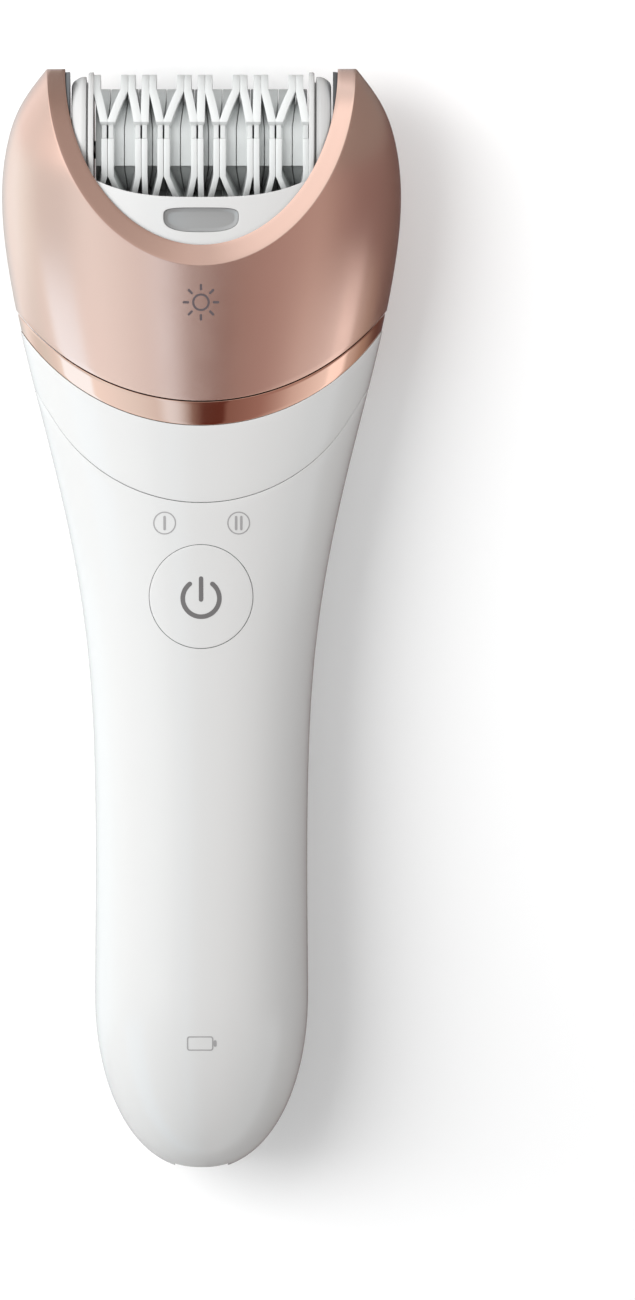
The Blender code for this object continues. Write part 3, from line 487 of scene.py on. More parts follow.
def mouth_curve(share, half_axes, swell, wall):
    """The angle and y of points along one side of the mouth, swell out from its edge, under wall(y)."""
    across, down = half_axes[0] + swell, half_axes[1] + swell

    def room(turn):
        y = HALF_LENGTH - down * np.sin(turn)
        return y, half_width(y) - wall(y)[0]

    def outside(turn):
        return across * np.cos(turn) >= room(turn)[1]

    first = 0.0 if swell == 0.0 else crossing(outside, np.zeros(1), np.full(1, 1.2))[0]
    turn = first + (math.pi - 2 * first) * (1.0 - np.cos(math.pi * share)) / 2
    y, width = room(turn)
    x = across * np.cos(turn)
    ratio = np.clip(np.abs(x) / width, 0.0, 1.0)
    ratio[[0, -1]] = 1.0
    return np.arccos(np.sign(x) * ratio ** (SQUARENESS / 2)), y


def head_cover():
    """The rose cover: its outside, the slanted band round its mouth, and its inside."""
    half = RING_COLUMNS // 2
    share = np.linspace(0.0, 1.0, half + 1)

    def both_sides(values, mirrored):
        """One side's values, and the other side's on the way back."""
        back = values[-2:0:-1]
        return np.concatenate((values, -back if mirrored else back))

    def plain(y):
        return 0.0, 0.0

    def mouth_row(half_axes, swell, wall):
        angle, y = mouth_curve(share, half_axes, swell, wall)
        return both_sides(angle, True), both_sides(y, False)

    def mouth_points(half_axes, swell, wall):
        angle, y = mouth_row(half_axes, swell, wall)
        return body_point(angle, y, wall(y))

    seam_angle = both_sides(math.pi * share, True)
    start = seam_height(seam_angle, HEAD_SEAM, HEAD_LINE / 2)
    steep = climb(body_point(seam_angle, start))
    sections = []
    for e in edge_steps(SEAM_ROLL):
        fall = roll(e, SEAM_ROLL)
        sections.append(body_point(seam_angle, start + steep * e, (fall, fall)))
    first_row = start + steep * SEAM_ROLL
    top_angle, top_y = mouth_row(MOUTH_OUTER, MOUTH_ROWS[0], plain)
    for k in range(1, HEAD_ROWS):
        f = k / HEAD_ROWS
        y = first_row + (top_y - first_row) * f
        sections.append(body_point(seam_angle + (top_angle - seam_angle) * f, y))
    sections += [mouth_points(MOUTH_OUTER, swell, plain) for swell in MOUTH_ROWS]
    corner = mouth_points(MOUTH_OUTER, 0.0, plain)
    inner_edge = mouth_points(MOUTH_INNER, 0.0, head_wall)
    slant = inner_edge - corner
    length = np.linalg.norm(slant, axis=1)[:, None]
    band_start = corner + slant * MOUTH_ROLL / length
    band_end = inner_edge - slant * 0.2 / length
    sections += bezier(sections.pop(), corner, band_start, 5)
    sections += [band_start + (band_end - band_start) * k / 5 for k in range(1, 5)]
    sections += bezier(band_end, inner_edge, mouth_points(MOUTH_INNER, 0.2, head_wall), 3)
    inner_angle, inner_top = mouth_row(MOUTH_INNER, 0.2, head_wall)
    inner = head_wall(40.0)
    inner_start = seam_height(seam_angle, HEAD_SEAM, HEAD_LINE / 2, inner)
    for k in range(1, 13):
        f = k / 12
        y = inner_top + (inner_start - inner_top) * f
        sections.append(body_point(inner_angle + (seam_angle - inner_angle) * f, y, head_wall(y)))
    return smooth(loft(np.stack(sections, axis=1), "head_cover"), 50.0)


# ---- saddle, lens and buttons


def drum_cavity():
    outline = circle(DRUM_CAVITY_RADIUS, (DRUM_Y, AXIS_Z), 192)
    return loft([[(x, *point) for point in outline] for x in (-40.0, 40.0)], "drum_cavity", False)


def head_section(y, count, gap):
    """The section at y of what fills the head, gap clear of the cover."""
    return body_point(math.tau * np.arange(count) / count, y, head_wall(y, gap))


def saddle_edge(x):
    """The top edge of the saddle, seen from the front."""
    lowest, rise, reach = SADDLE_EDGE
    return lowest + rise * (np.abs(x) / reach) ** 3


def saddle():
    """The white saddle under the drum, with its pocket for the skin light."""
    body = loft([head_section(y, 192, GAP) for y in np.linspace(*SADDLE_SPAN, 30)], "saddle", False)
    half = PLATE_X - GAP
    cut(body, [box_solid((-half, 50, -1), (half, 80, 40), "saddle_sides")], "INTERSECT")
    across = np.linspace(-22.5, 22.5, 61)
    rim = [(-22.5, 95.0)] + list(zip(across, saddle_edge(across))) + [(22.5, 95.0)]
    half_x, start, end, low, high = LIGHT_POCKET
    pocket = (-half_x, start, AXIS_Z + low), (half_x, end, AXIS_Z + high)
    cut(
        body,
        [
            prism(rim, AXIS_Z - 30, AXIS_Z + 30, "saddle_rim"),
            drum_cavity(),
            axis_box(*SADDLE_HOLLOW, "saddle_hollow"),
            prism(lens_outline(-0.05), AXIS_Z + 12.6, AXIS_Z + 22, "lens_hole"),
            box_solid(*pocket, "light_pocket"),
        ],
    )
    bevel = body.modifiers.new("round", "BEVEL")
    bevel.width = SADDLE_BEVEL * MM
    bevel.segments = 3
    bevel.limit_method = "ANGLE"
    bevel.angle_limit = math.radians(48.0)
    bpy.context.view_layer.update()
    apply_modifiers(body)
    return smooth(body, 30.0)


def lens_outline(inwards):
    """The lens seen from the front: square above, and rounder below."""
    points = []
    for k in range(96):
        angle = math.tau * k / 96
        up = math.sin(angle)
        power = 2 / (LENS_SQUARENESS[0] if up >= 0.0 else LENS_SQUARENESS[1])
        reach = LENS_RISE if up >= 0.0 else LENS_DROP
        u = float(signed_power(math.cos(angle), power)) * (LENS_HALF_WIDTH - inwards)
        points.append((u, LENS_Y + float(signed_power(up, power)) * (reach - inwards)))
    return points


def button_outline(inwards):
    return circle(BUTTON_RADIUS - inwards, (0.0, BUTTON_Y), 120)


def cap(name, outline, centre, reach, face, bottom, radius, steps=12):
    """A button or lens round a centre. outline(e) is its edge moved in by e, up to reach, and
    face(x, y, e) is the height of its face before its edge is rounded."""
    towards = [reach + (radius - reach) * k / steps for k in range(steps)]
    middle = (*centre, face(*centre, reach))
    up = 1.0 if bottom < middle[2] else -1.0
    edge = outline(0.0)
    rows = [[middle] * len(edge)]
    for e in towards + edge_steps(radius)[::-1]:
        fall = roll(e, radius)
        rows.append([(x, y, face(x, y, e) - up * fall) for x, y in outline(e)])
    rows += [[(x, y, bottom) for x, y in edge], [(*centre, bottom)] * len(edge)]
    return smooth(loft(np.stack(rows, axis=1), name))


def power_button():
    return cap(
        "power_key", button_outline, (0.0, BUTTON_Y), BUTTON_RADIUS - 0.4,
        lambda x, y, e: float(front_z(x, y)), BUTTON_BOTTOM, PARTING_ROLL, 18,
    )


def lens():
    def face(x, y, e):
        return float(front_z(x, y, LENS_UNDER)) + LENS_PROUD - LENS_DISH * min(e / LENS_RIM, 1.0)

    return cap("skin_light_lens", lens_outline, (0.0, LENS_Y), 1.5, face, LENS_BOTTOM, 0.1)


def release_button():
    """The head release on the back, with a shallow dish for a finger."""

    def face(x, y, e):
        return RELEASE_FACE + RELEASE_DISH * min(e / DISH_REACH, 1.0) ** 2

    centre, reach = (0.0, RELEASE_Y), RELEASE_HALF[1] - 0.3
    return cap("release_key", release_outline, centre, reach, face, RELEASE_TOP, RELEASE_ROLL)


def return_spring():
    """The release button's coil spring, with closed end turns."""
    count = SPRING_TURNS * 24
    open_rise = SPRING_HIGH - SPRING_LOW - 2 * CLOSED_RISE * SPRING_CLOSED
    sections = []
    for k in range(count + 1):
        share = k / count
        closed_share = min(share, SPRING_CLOSED) + max(share - 1.0 + SPRING_CLOSED, 0.0)
        open_share = min(max((share - SPRING_CLOSED) / (1.0 - 2 * SPRING_CLOSED), 0.0), 1.0)
        height = SPRING_LOW + CLOSED_RISE * closed_share + open_rise * open_share
        angle = math.tau * SPRING_TURNS * share
        x, y = math.cos(angle), math.sin(angle)
        wire = circle(SPRING_WIRE, (SPRING_RADIUS, height), 12)
        sections.append([(reach * x, RELEASE_Y + reach * y, z) for reach, z in wire])
    return smooth(loft(sections, "return_spring", False))


# ---- drum


def all_places():
    """Every disc's two rim places, at the drum's top and at its front, from left to right."""
    places = []
    for shift in (UNIT_PITCH * unit for unit in (-2, -1, 0, 1, 2)):
        places += [(top + shift, front + shift) for top, front in DISC_PLACES]
    return places[2:-3]


def spread(degrees):
    """0 where the rims stand at their top places, 1 where they stand at their front places."""
    opening = (degrees - TOP_CLOSED) / (FRONT_CLOSED[0] - TOP_CLOSED)
    closing_again = (180.0 - TOP_CLOSED - degrees) / (180.0 - TOP_CLOSED - FRONT_CLOSED[1])
    return min(max(min(opening, closing_again), 0.0), 1.0)


def rim_shape(degrees):
    if FRONT_CLOSED[0] < degrees < RIM_NOTCH_END:
        return RIM_NOTCH
    if RIM_NOTCH_END <= degrees < 180.0 - TOP_CLOSED:
        return RIM_FRONT
    return RIM_TOP


def partner(places, number):
    """The side on which the next rim stands close by: 1 or -1, or 0 where there is none."""
    for side in (1, -1):
        other = number + side
        if 0 <= other < len(places) and abs(places[other] - places[number]) < PAIR_REACH:
            return side
    return 0


def disc_steps():
    """Angles round a disc, with a close pair at each sudden change."""
    steps = set(range(0, 180, 4))
    for angle in (*RECESS_ANGLES, FRONT_CLOSED[0], RIM_NOTCH_END, 180.0 - TOP_CLOSED):
        steps = {step for step in steps if abs(step - angle) > 1.5}
        steps |= {angle - 0.5, angle + 0.5}
    steps |= {TOP_CLOSED, FRONT_CLOSED[1]}
    return sorted(steps) + [angle + 180.0 for angle in sorted(steps)]


def disc_side(side, border, blade, rim, half, radius, hub):
    """One side of a disc's section, from its border at the hub out to the middle of its rim."""
    foot = blade + side * BLADE_HALF
    foot = min(foot, border - 0.1) if side > 0 else max(foot, border + 0.1)
    edge = rim + side * half
    neck = radius - RIM_DEPTH
    return [
        (border, hub - 0.1), (border - side * 0.1, hub), (foot + side * 0.02, hub), (foot, hub + 0.15),
        (rim + side * (half - 0.12), neck - 0.15), (edge, neck), (edge, radius - 0.07),
        (edge - side * 0.02, radius - 0.02), (edge - side * 0.07, radius),
    ]


def rim_at(place, turn):
    at_top, at_front = place
    return at_top + (at_front - at_top) * spread(turn)


def round_drum(outline, angle):
    """(x, radius) pairs as points at an angle round the drum's axis, from +Y towards +Z."""
    y, z = math.cos(angle), math.sin(angle)
    return [(x, DRUM_Y + r * y, AXIS_Z + r * z) for x, r in outline]


def tweezer_disc(number, places):
    """The disc of this number. The joint with each neighbour runs midway between their rims."""
    partners = [partner([place[k] for place in places], number) for k in (0, 1)]
    middle = sum(places[number]) / 2
    sections = []
    for degrees in disc_steps():
        turn = degrees % 180.0
        rim, opened = rim_at(places[number], turn), spread(turn)
        blade = middle + (rim - middle) * BLADE_LEAN
        radius, inner_half, outer_half = rim_shape(turn)
        in_recess = RECESS_ANGLES[0] < turn < RECESS_ANGLES[1]
        hub = RECESS_RADIUS if in_recess else DISC_HUB_RADIUS
        borders, walls = {}, {}
        for side in (-1, 1):
            other = number + side
            if 0 <= other < len(places):
                borders[side] = (rim + rim_at(places[other], turn)) / 2 - side * DISC_SEAM / 2
            else:
                borders[side] = middle + side * END_MARGIN
            close = opened in (0.0, 1.0) and partners[int(opened)] == side
            half = inner_half if close else outer_half
            walls[side] = disc_side(side, borders[side], blade, rim, half, radius, hub)
        outline = [(borders[-1], SPINDLE_BORE), (borders[1], SPINDLE_BORE)] + walls[1] + walls[-1][::-1]
        sections.append(round_drum(outline, math.radians(degrees)))
    return smooth(loft(sections, f"drum_disc_{number + 1:02d}"), 32.0)


def rounded_profile(points, radius=0.12):
    """A closed outline with its corners rounded."""
    points = [np.array(point, dtype=float) for point in points]
    outline = []
    for i, corner in enumerate(points):
        before, after = points[i - 1], points[(i + 1) % len(points)]
        ends = []
        for other in (before, after):
            away = other - corner
            reach = min(radius, np.linalg.norm(away) * 0.45)
            ends.append(corner + away / np.linalg.norm(away) * reach)
        outline += bezier(ends[0], corner, ends[1], 3)
    return outline


def end_hub(name, side):
    """The white cap at an end of the drum, with its ring flange."""
    outline = [(side * x, r) for r, x in rounded_profile(HUB_PROFILE)]
    sections = [round_drum(outline, math.tau * k / 144) for k in range(144)]
    return smooth(loft(sections, name), 32.0)


def horn_lining(name, side):
    """The dark plate that closes a horn beside the drum."""
    ends = np.linspace(64.0, HALF_LENGTH - 0.6, 16)
    lining = loft([head_section(y, 96, 0.15) for y in ends], name, False)
    low, high = sorted((side * (PLATE_X - LINING_IN), side * (PLATE_X + LINING_OUT)))
    cut(lining, [box_solid((low, 60, -1), (high, 95, 40), "lining_slab")], "INTERSECT")
    return smooth(lining)


# ---- printed marks

INK_TOP, INK_BOTTOM = 0.03, -0.06  # over and under the surface it is printed on


def stroke(path, width, closed=False, surface_inset=0.0):
    """A thin line of ink along a path on the front, with round ends where it is open."""
    points = np.array(path, dtype=float)
    half = width / 2
    widths = np.full(len(points), half)
    if closed:
        along = np.roll(points, -1, axis=0) - np.roll(points, 1, axis=0)
    else:
        turns = np.radians([12.0, 40.0, 65.0])
        first = (points[0] - points[1]) / np.linalg.norm(points[0] - points[1])
        last = (points[-1] - points[-2]) / np.linalg.norm(points[-1] - points[-2])
        start = [points[0] + first * half * math.cos(a) for a in turns]
        end = [points[-1] + last * half * math.cos(a) for a in turns[::-1]]
        ends = half * np.sin(turns)
        points = np.concatenate((start, points, end))
        widths = np.concatenate((ends, widths, ends[::-1]))
        along = np.gradient(points, axis=0)
    along /= np.linalg.norm(along, axis=1)[:, None]
    aside = np.stack((-along[:, 1], along[:, 0]), axis=1) * widths[:, None]
    sections = []
    for side, lift in ((1, INK_TOP), (-1, INK_TOP), (-1, INK_BOTTOM), (1, INK_BOTTOM)):
        edge = points + side * aside
        z = front_z(edge[:, 0], edge[:, 1], surface_inset) + lift
        sections.append(np.column_stack((edge, z)))
    return np.stack(sections, axis=1), closed


def bar(start, end, width):
    start, end = np.array(start, dtype=float), np.array(end, dtype=float)
    count = max(2, int(np.linalg.norm(end - start) / 0.3) + 1)
    return stroke([start + (end - start) * t for t in np.linspace(0.0, 1.0, count)], width)


def arc_path(centre, radius, start=0.0, end=360.0, count=72):
    """Points along an arc, in degrees. A whole circle doesn't repeat its first point."""
    whole = end - start == 360.0
    angles = np.radians(np.linspace(start, end, count, endpoint=not whole))
    return [(centre[0] + radius * math.cos(a), centre[1] + radius * math.sin(a)) for a in angles]


def mark(name, strokes):
    """One printed symbol from its strokes."""
    points, faces = [], []
    for sections, closed in strokes:
        faces += tube_faces(*sections.shape[:2], closed, len(points))
        points.extend(sections.reshape(-1, 3))
    return collect(points, faces, name)


def sun_mark():
    centre = (0.0, 52.5)
    strokes = [stroke(arc_path(centre, 1.28), 0.35, True)]
    for k in range(8):
        angle = math.pi * k / 4
        way = np.array((math.cos(angle), math.sin(angle)))
        strokes.append(bar(centre + way * 2.15, centre + way * 2.85, 0.4))
    return mark("sun_mark", strokes)


def power_mark():
    ring = stroke(arc_path((0.0, 3.4), 3.04, 128.0, 412.0), 0.77)
    return mark("power_mark", [ring, bar((0.0, 3.2), (0.0, 6.7), 0.73)])


def speed_mark(name, x, bars):
    y, half_height = 15.9, 1.0
    strokes = [stroke(arc_path((x, y), 1.8), 0.2, True)]
    for at in bars:
        strokes.append(bar((x + at, y - half_height), (x + at, y + half_height), 0.42))
    return mark(name, strokes)


def battery_mark():
    left, right, low, high = -2.25, 1.93, -71.6, -69.4
    corner = 0.35
    path = []
    for cx, cy, start in (
        (right - corner, high - corner, 0.0), (left + corner, high - corner, 90.0),
        (left + corner, low + corner, 180.0), (right - corner, low + corner, 270.0),
    ):
        path += arc_path((cx, cy), corner, start, start + 90.0, 7)
    nub = bar((2.33, -70.8), (2.33, -70.2), 0.5)
    return mark("battery_mark", [stroke(path, 0.2, True), nub])


# ---- finishes


RELIEF_DEPTH = 0.00005  # of every grain, in metres


def set_inputs(node, **values):
    """Sets a node's sockets, named with _ for a space."""
    for socket, value in values.items():
        node.inputs[socket.replace("_", " ")].default_value = value


def colour_ramp(nodes, rows, low, high):
    """A colour ramp from rows of a value and a colour, its values from low to high."""
    ramp = nodes.new("ShaderNodeValToRGB")
    stops = ramp.color_ramp.elements
    while len(stops) < len(rows):
        stops.new(0.5)
    for stop, row in zip(stops, rows):
        stop.position = (row[0] - low) / (high - low)
    for stop, row in zip(stops, rows):
        stop.color = (*row[1:], 1.0)
    return ramp


def finish(
    name, colour, roughness, metallic=0.0, tint=0.03, patch=30.0, grain=3000.0, bump=0.05, **shader
):
    """A procedural finish: a slow drift of colour, patchy gloss and a fine grain in the surface.
    patch and grain are repeats per metre; other settings go on the shader's own sockets."""
    material = bpy.data.materials.new(name)
    material.use_nodes = True
    nodes, links = material.node_tree.nodes, material.node_tree.links
    principled = nodes["Principled BSDF"]
    set_inputs(principled, Metallic=metallic, **shader)
    place = nodes.new("ShaderNodeTexCoord").outputs["Object"]

    def noise(scale, detail):
        node = nodes.new("ShaderNodeTexNoise")
        set_inputs(node, Scale=scale, Detail=detail)
        links.new(place, node.inputs["Vector"])
        return node.outputs["Fac"]

    drift = nodes.new("ShaderNodeMix")
    drift.data_type = "RGBA"
    for socket, share in (("A", 1.0 - tint), ("B", 1.0 + tint)):
        drift.inputs[socket].default_value = (*(min(c * share, 1.0) for c in colour), 1.0)
    links.new(noise(patch, 3.0), drift.inputs["Factor"])
    links.new(drift.outputs["Result"], principled.inputs["Base Color"])
    gloss = nodes.new("ShaderNodeMapRange")
    set_inputs(gloss, To_Min=roughness * 0.8, To_Max=roughness * 1.2)
    links.new(noise(patch * 6, 4.0), gloss.inputs["Value"])
    links.new(gloss.outputs["Result"], principled.inputs["Roughness"])
    relief = nodes.new("ShaderNodeBump")
    set_inputs(relief, Strength=bump, Distance=RELIEF_DEPTH)
    links.new(noise(grain, 2.0), relief.inputs["Height"])
    links.new(relief.outputs["Normal"], principled.inputs["Normal"])
    return material


FINISHES = {
    "white_plastic": finish(
        "gloss_white", (0.58, 0.58, 0.575), 0.16, tint=0.008, grain=2500.0, bump=0.03, Coat_Weight=0.2,
        Coat_Roughness=0.06,
    ),
    "rose_metallic": finish(
        "rose_metallic_paint", (0.80, 0.55, 0.46), 0.18, 0.87, tint=0.02, grain=9000.0, bump=0.08,
        Coat_Weight=0.3, Coat_Roughness=0.10,
    ),
    "rose_polished": finish(
        "rose_polished_metal", (0.90, 0.60, 0.48), 0.05, 1.0, tint=0.015, grain=1200.0, bump=0.01,
    ),
    "disc_plastic": finish(
        "disc_ceramic", (0.66, 0.675, 0.67), 0.30, tint=0.02, grain=6000.0, bump=0.06, Coat_Weight=0.15,
        Coat_Roughness=0.15,
    ),
    "steel": finish("brushed_steel", (0.56, 0.56, 0.57), 0.30, 1.0, tint=0.06, grain=5000.0, bump=0.1),
    "inner_plastic": finish(
        "moulded_grey", (0.10, 0.105, 0.11), 0.48, tint=0.08, grain=7000.0, bump=0.25,
    ),
    "gear_plastic": finish("acetal", (0.74, 0.72, 0.65), 0.38, tint=0.04, grain=6000.0, bump=0.12),
    "rubber": finish("seal_rubber", (0.03, 0.03, 0.03), 0.75, tint=0.15, grain=9000.0, bump=0.4),
    "board": finish("solder_mask", (0.02, 0.16, 0.07), 0.35, tint=0.15, patch=300.0, bump=0.1),
    "clear_grey": finish(
        "smoked_lens", (0.29, 0.295, 0.295), 0.14, tint=0.03, grain=4000.0, bump=0.04, Coat_Weight=0.6,
        Coat_Roughness=0.05,
    ),
    "brass": finish("plated_brass", (0.70, 0.52, 0.24), 0.25, 1.0, tint=0.05, grain=5000.0, bump=0.08),
    "battery_wrap": finish("cell_wrap", (0.05, 0.13, 0.30), 0.32, tint=0.08, grain=2000.0, bump=0.08),
}
INK = {"tint": 0.05, "grain": 8000.0, "bump": 0.1}
INK_GREY = finish("ink_grey", (0.13, 0.125, 0.125), 0.45, **INK)
INK_LIGHT = finish("ink_light", (0.30, 0.295, 0.295), 0.45, **INK)
INK_DARK = finish("ink_dark", (0.09, 0.07, 0.075), 0.4, **INK)


def paint_shade_inwards(material, painted_shade_rows):
    """Paints shade into a disc's material, darker towards the drum's axis, by rows of a radius in mm and
    a colour.
    """
    nodes, links = material.node_tree.nodes, material.node_tree.links
    offset = nodes.new("ShaderNodeVectorMath")
    offset.operation = "SUBTRACT"
    offset.inputs[1].default_value = (0.0, DRUM_Y * MM, AXIS_Z * MM)
    links.new(nodes.new("ShaderNodeTexCoord").outputs["Object"], offset.inputs[0])
    across = nodes.new("ShaderNodeVectorMath")
    across.operation = "MULTIPLY"
    across.inputs[1].default_value = (0.0, 1.0, 1.0)
    links.new(offset.outputs["Vector"], across.inputs[0])
    length = nodes.new("ShaderNodeVectorMath")
    length.operation = "LENGTH"
    links.new(across.outputs["Vector"], length.inputs[0])
    low, high = painted_shade_rows[0][0], painted_shade_rows[-1][0]
    share = nodes.new("ShaderNodeMapRange")
    set_inputs(share, From_Min=low * MM, From_Max=high * MM)
    links.new(length.outputs["Value"], share.inputs["Value"])
    ramp = colour_ramp(nodes, painted_shade_rows, low, high)
    links.new(share.outputs["Result"], ramp.inputs["Fac"])
    principled = nodes["Principled BSDF"]
    blend = nodes.new("ShaderNodeMix")
    blend.data_type, blend.blend_type = "RGBA", "MULTIPLY"
    set_inputs(blend, Factor=1.0)
    links.new(principled.inputs["Base Color"].links[0].from_socket, blend.inputs["A"])
    links.new(ramp.outputs["Color"], blend.inputs["B"])
    links.new(blend.outputs["Result"], principled.inputs["Base Color"])


# Painted shade on the discs, by radius in mm from the drum's axis. It is dark inside the recesses, a
# little grey towards the hubs and absent at the rims. It stands in for the shade between the discs, not
# a colour of the discs themselves.
DISC_PAINTED_SHADE = [
    (8.2, 0.42, 0.43, 0.43), (9.0, 0.48, 0.49, 0.49), (9.6, 0.89, 0.9, 0.9), (10.4, 0.93, 0.94, 0.94),
    (11.6, 0.89, 0.89, 0.89), (12.25, 1.0, 1.0, 1.0), (13.5, 1.0, 1.0, 1.0),
]
paint_shade_inwards(FINISHES["disc_plastic"], DISC_PAINTED_SHADE)

# The CAD nodes that keep their shape, by finish
KEPT_NODES = {
    "steel": [
        "motor_can", "motor_mount", "motor_screw_left", "motor_screw_right", "motor_shaft",
        "idler_pin", "side_plate_left", "side_plate_right", "countershaft", "spindle",
    ],
    "brass": [
        "socket_pin_left", "socket_pin_right", "battery_tab_bottom", "battery_tab_top", "drive_pinion",
    ],
    "inner_plastic": ["socket_housing", "button_switch", "head_base"],
    "gear_plastic": ["crown_gear", "counter_gear", "idler_gear", "drum_gear"],
    "white_plastic": ["bulkhead"],
    "rubber": ["shaft_seal"],
    "board": ["circuit_board", "light_board"],
    "clear_grey": ["speed_light_one", "speed_light_two", "battery_light", "light_emitter"],
    "battery_wrap": ["battery_cell"],
}

# ---- putting it together


def place(piece, body, slot, nodes=(), material=None):
    piece.data.materials.clear()
    piece.data.materials.append(material or FINISHES[slot])
    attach(piece, body)
    if nodes:
        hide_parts(*nodes)


for slot, names in KEPT_NODES.items():
    for name in names:
        for material_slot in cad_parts[name].material_slots:
            material_slot.material = FINISHES[slot]

place(half_casing("front_casing", True), "handle", "white_plastic", ["front_shell"])
place(half_casing("rear_casing", False), "handle", "white_plastic", ["rear_shell"])
place(collar(), "handle", "white_plastic", ["upper_collar"])
place(trim_ring(), "handle", "rose_polished", ["accent_ring"])
place(head_cover(), "head", "rose_metallic", ["head_shell"])
place(saddle(), "head", "white_plastic", ["head_frame"])
place(lens(), "head", "clear_grey", ["light_lens"])
place(power_button(), "power_button", "white_plastic", ["power_button"])
place(release_button(), "release_button", "white_plastic", ["release_button"])
spring = return_spring()
place(spring, "handle", "steel", ["release_spring"])
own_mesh(spring)
places = all_places()
for number in range(len(places)):
    place(tweezer_disc(number, places), "drum", "disc_plastic", [f"tweezer_disc_{number + 1:02d}"])
ENDS = (("left", -1), ("right", 1))
for name, side in ENDS:
    place(end_hub(f"drum_end_{name}", side), "drum", "white_plastic", [f"end_hub_{name}"])
for name, side in ENDS:
    place(horn_lining(f"horn_lining_{name}", side), "head", "inner_plastic")
for symbol, body, ink in (
    (sun_mark(), "head", INK_DARK),
    (power_mark(), "power_button", INK_GREY),
    (speed_mark("speed_mark_one", -6.05, [0.0]), "handle", INK_LIGHT),
    (speed_mark("speed_mark_two", 6.25, [-0.43, 0.43]), "handle", INK_LIGHT),
    (battery_mark(), "handle", INK_LIGHT),
):
    place(symbol, body, "inner_plastic", material=ink)

# ---- camera, floor and light

CAMERA_X, CAMERA_Y = 19.33, -5.17
FRAME_HEIGHT = 216.67
FOCAL_LENGTH, SENSOR = 600.0, 36.0

# The studio by angle round the epilator's length, in degrees: 0 is straight up and -90 its left. Each
# row is an angle and a colour. Glossy surfaces mirror the first three, from the handle's end to over
# the head, and the last lights the scene.
TOWARDS_HANDLE = [
    (-180, 0.5, 0.49, 0.48), (-130, 0.75, 0.8, 0.82), (-99, 0.76, 0.9, 0.94), (-84, 0.85, 0.95, 1.0),
    (-77, 0.95, 1.1, 1.15), (-74, 1.1, 1.45, 1.7), (-49, 1.1, 1.45, 1.7), (-46, 1.0, 1.1, 1.15),
    (-36, 0.95, 1.04, 1.1), (-22, 0.84, 0.94, 0.99), (-12, 0.74, 0.8, 0.84), (-8, 0.84, 1.02, 1.16),
    (-5, 0.74, 0.88, 1.0), (-3.4, 0.58, 0.64, 0.68), (-1.4, 0.26, 0.19, 0.17), (-0.3, 0.12, 0.04, 0.03),
    (4.2, 0.11, 0.03, 0.02), (4.5, 0.23, 0.13, 0.11), (18, 0.34, 0.22, 0.2), (34, 0.66, 0.59, 0.57),
    (60, 0.92, 0.9, 0.9), (64, 1.15, 1.12, 1.12), (78, 1.1, 1.07, 1.07), (84, 0.6, 0.55, 0.52),
    (105, 0.38, 0.3, 0.25), (130, 0.2, 0.14, 0.12), (180, 0.16, 0.11, 0.1),
]
TOWARDS_HEAD = [
    (-180, 0.5, 0.49, 0.48), (-136, 1.0, 1.15, 1.2), (-114, 1.05, 1.3, 1.4), (-92, 0.9, 1.1, 1.15),
    (-70, 0.68, 0.78, 0.81), (-51, 0.66, 0.76, 0.8), (-34, 0.88, 1.02, 1.08), (-20, 0.8, 0.9, 0.95),
    (-12, 0.72, 0.78, 0.82), (-8, 0.84, 1.02, 1.16), (-5, 0.74, 0.88, 1.0), (-3.4, 0.58, 0.64, 0.68),
    (-1.4, 0.26, 0.19, 0.17), (-0.3, 0.12, 0.05, 0.04), (4.2, 0.12, 0.04, 0.03), (4.5, 0.24, 0.14, 0.12),
    (18, 0.34, 0.22, 0.2), (36, 0.44, 0.33, 0.3), (50, 0.3, 0.2, 0.18), (67, 0.2, 0.11, 0.1),
    (90, 0.18, 0.1, 0.09), (136, 0.12, 0.06, 0.05), (180, 0.12, 0.08, 0.08),
]
OVERHEAD = [
    (-180, 0.5, 0.5, 0.5), (-130, 1.0, 1.05, 1.08), (-85, 0.82, 0.88, 0.9), (-62, 0.95, 0.97, 0.98),
    (-46, 1.35, 1.35, 1.35), (-22, 1.05, 1.05, 1.05), (-6, 0.6, 0.58, 0.57), (6, 0.66, 0.63, 0.62),
    (16, 0.5, 0.46, 0.44), (30, 0.34, 0.29, 0.27), (56, 0.22, 0.18, 0.16), (180, 0.2, 0.18, 0.17),
]
SOFT_GREYS = [(-180, 0.3), (-90, 0.16), (-45, 0.5), (10, 0.9), (50, 0.95), (90, 0.46), (180, 0.3)]
SOFT_LIGHT = [(angle, grey, grey, grey) for angle, grey in SOFT_GREYS]
SOFT_STRENGTH = 0.75
# The reflected ray's share along Y where one of these tables gives way to the next
HANDLE_TO_HEAD, HEAD_TO_OVERHEAD = (-0.21, -0.11), (0.15, 0.35)
FLOOR_HALF, FLOOR_BOTTOM, FLOOR_TOP = 2500.0, -8.0, -0.2

# Each lamp's place, what it points at, its size and its power in watts
KEY_LIGHT = (-465, 95, 440), (0, 0, 10), (480, 850), 5.9
FILL_LIGHT = (130, 175, 100), (65, 72, 0), (100, 100), 0.10


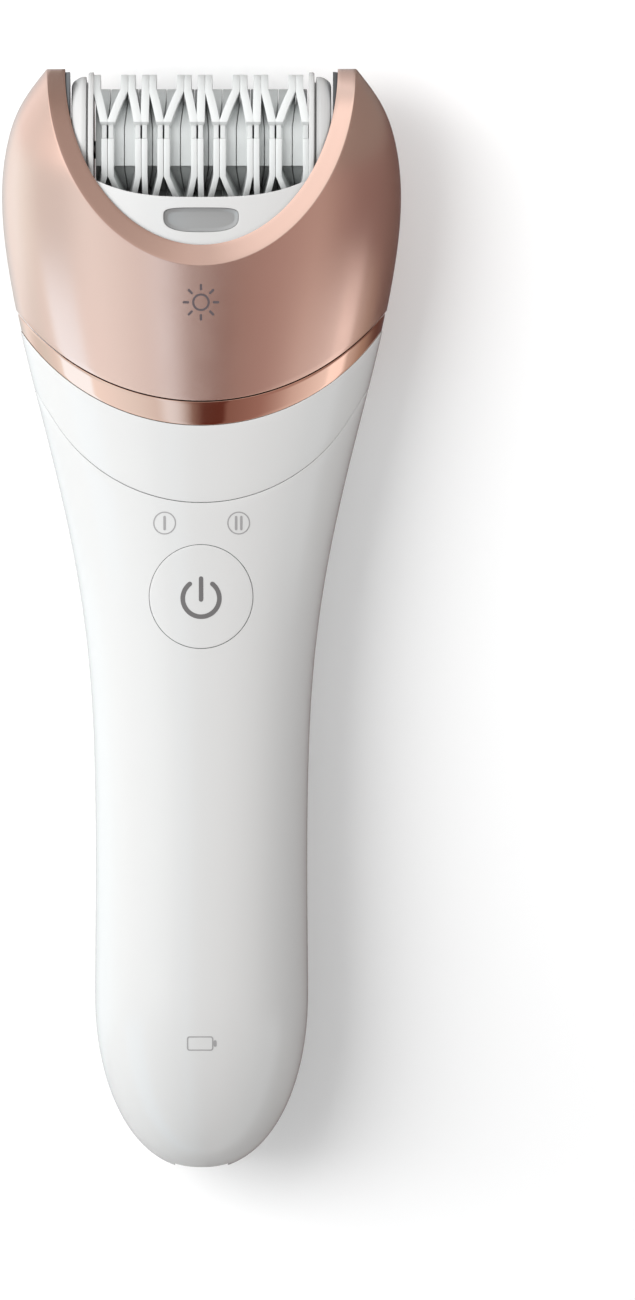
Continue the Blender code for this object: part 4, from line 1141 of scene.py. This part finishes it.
def studio_world():
    world = bpy.data.worlds.new("studio")
    world.use_nodes = True
    nodes, links = world.node_tree.nodes, world.node_tree.links
    way = nodes.new("ShaderNodeSeparateXYZ")
    links.new(nodes.new("ShaderNodeTexCoord").outputs["Generated"], way.inputs[0])
    angle = nodes.new("ShaderNodeMath")
    angle.operation = "ARCTAN2"
    links.new(way.outputs["X"], angle.inputs[0])
    links.new(way.outputs["Z"], angle.inputs[1])
    share = nodes.new("ShaderNodeMapRange")
    set_inputs(share, From_Min=-math.pi, From_Max=math.pi)
    links.new(angle.outputs[0], share.inputs["Value"])

    def backdrop(bands, strength=1.0):
        ramp = colour_ramp(nodes, bands, -180.0, 180.0)
        links.new(share.outputs["Result"], ramp.inputs["Fac"])
        background = nodes.new("ShaderNodeBackground")
        set_inputs(background, Strength=strength)
        links.new(ramp.outputs["Color"], background.inputs["Color"])
        return background.outputs[0]

    def along(low, high, first, second):
        """One backdrop where the ray's share along Y is low, and another where it is high."""
        share_along = nodes.new("ShaderNodeMapRange")
        share_along.interpolation_type = "SMOOTHSTEP"
        set_inputs(share_along, From_Min=low, From_Max=high)
        links.new(way.outputs["Y"], share_along.inputs["Value"])
        blend = nodes.new("ShaderNodeMixShader")
        links.new(share_along.outputs["Result"], blend.inputs["Fac"])
        links.new(first, blend.inputs[1])
        links.new(second, blend.inputs[2])
        return blend.outputs[0]

    mirrored = along(*HANDLE_TO_HEAD, backdrop(TOWARDS_HANDLE), backdrop(TOWARDS_HEAD))
    mirrored = along(*HEAD_TO_OVERHEAD, mirrored, backdrop(OVERHEAD))
    mixed = nodes.new("ShaderNodeMixShader")
    links.new(nodes.new("ShaderNodeLightPath").outputs["Is Glossy Ray"], mixed.inputs["Fac"])
    links.new(backdrop(SOFT_LIGHT, SOFT_STRENGTH), mixed.inputs[1])
    links.new(mirrored, mixed.inputs[2])
    links.new(mixed.outputs[0], nodes["World Output"].inputs["Surface"])
    bpy.context.scene.world = world


def area_light(name, location, target, size, power):
    data = bpy.data.lights.new(name, "AREA")
    data.shape = "RECTANGLE"
    data.size, data.size_y = (side * MM for side in size)
    data.energy = power
    light = bpy.data.objects.new(name, data)
    light.location = Vector(location) * MM
    way = Vector(location) - Vector(target)
    light.rotation_euler = way.to_track_quat("Z", "Y").to_euler()
    light.visible_glossy = False
    bpy.context.scene.collection.objects.link(light)


def studio_floor():
    low, high = (-FLOOR_HALF, -FLOOR_HALF, FLOOR_BOTTOM), (FLOOR_HALF, FLOOR_HALF, FLOOR_TOP)
    floor = box_solid(low, high, "studio_floor")
    paper = finish("studio_paper", (0.93, 0.93, 0.93), 0.7, tint=0.005, bump=0.02)
    floor.data.materials.append(paper)
    floor.visible_glossy = False


def studio_camera():
    data = bpy.data.cameras.new("camera")
    data.lens, data.sensor_width = FOCAL_LENGTH, SENSOR
    camera = bpy.data.objects.new("camera", data)
    distance = FRAME_HEIGHT * FOCAL_LENGTH / SENSOR
    camera.location = Vector((CAMERA_X, CAMERA_Y, AXIS_Z + distance)) * MM
    bpy.context.scene.collection.objects.link(camera)
    bpy.context.scene.camera = camera


studio_world()
studio_floor()
area_light("key", *KEY_LIGHT)
area_light("fill", *FILL_LIGHT)
studio_camera()
bpy.context.scene.view_settings.view_transform = "Standard"
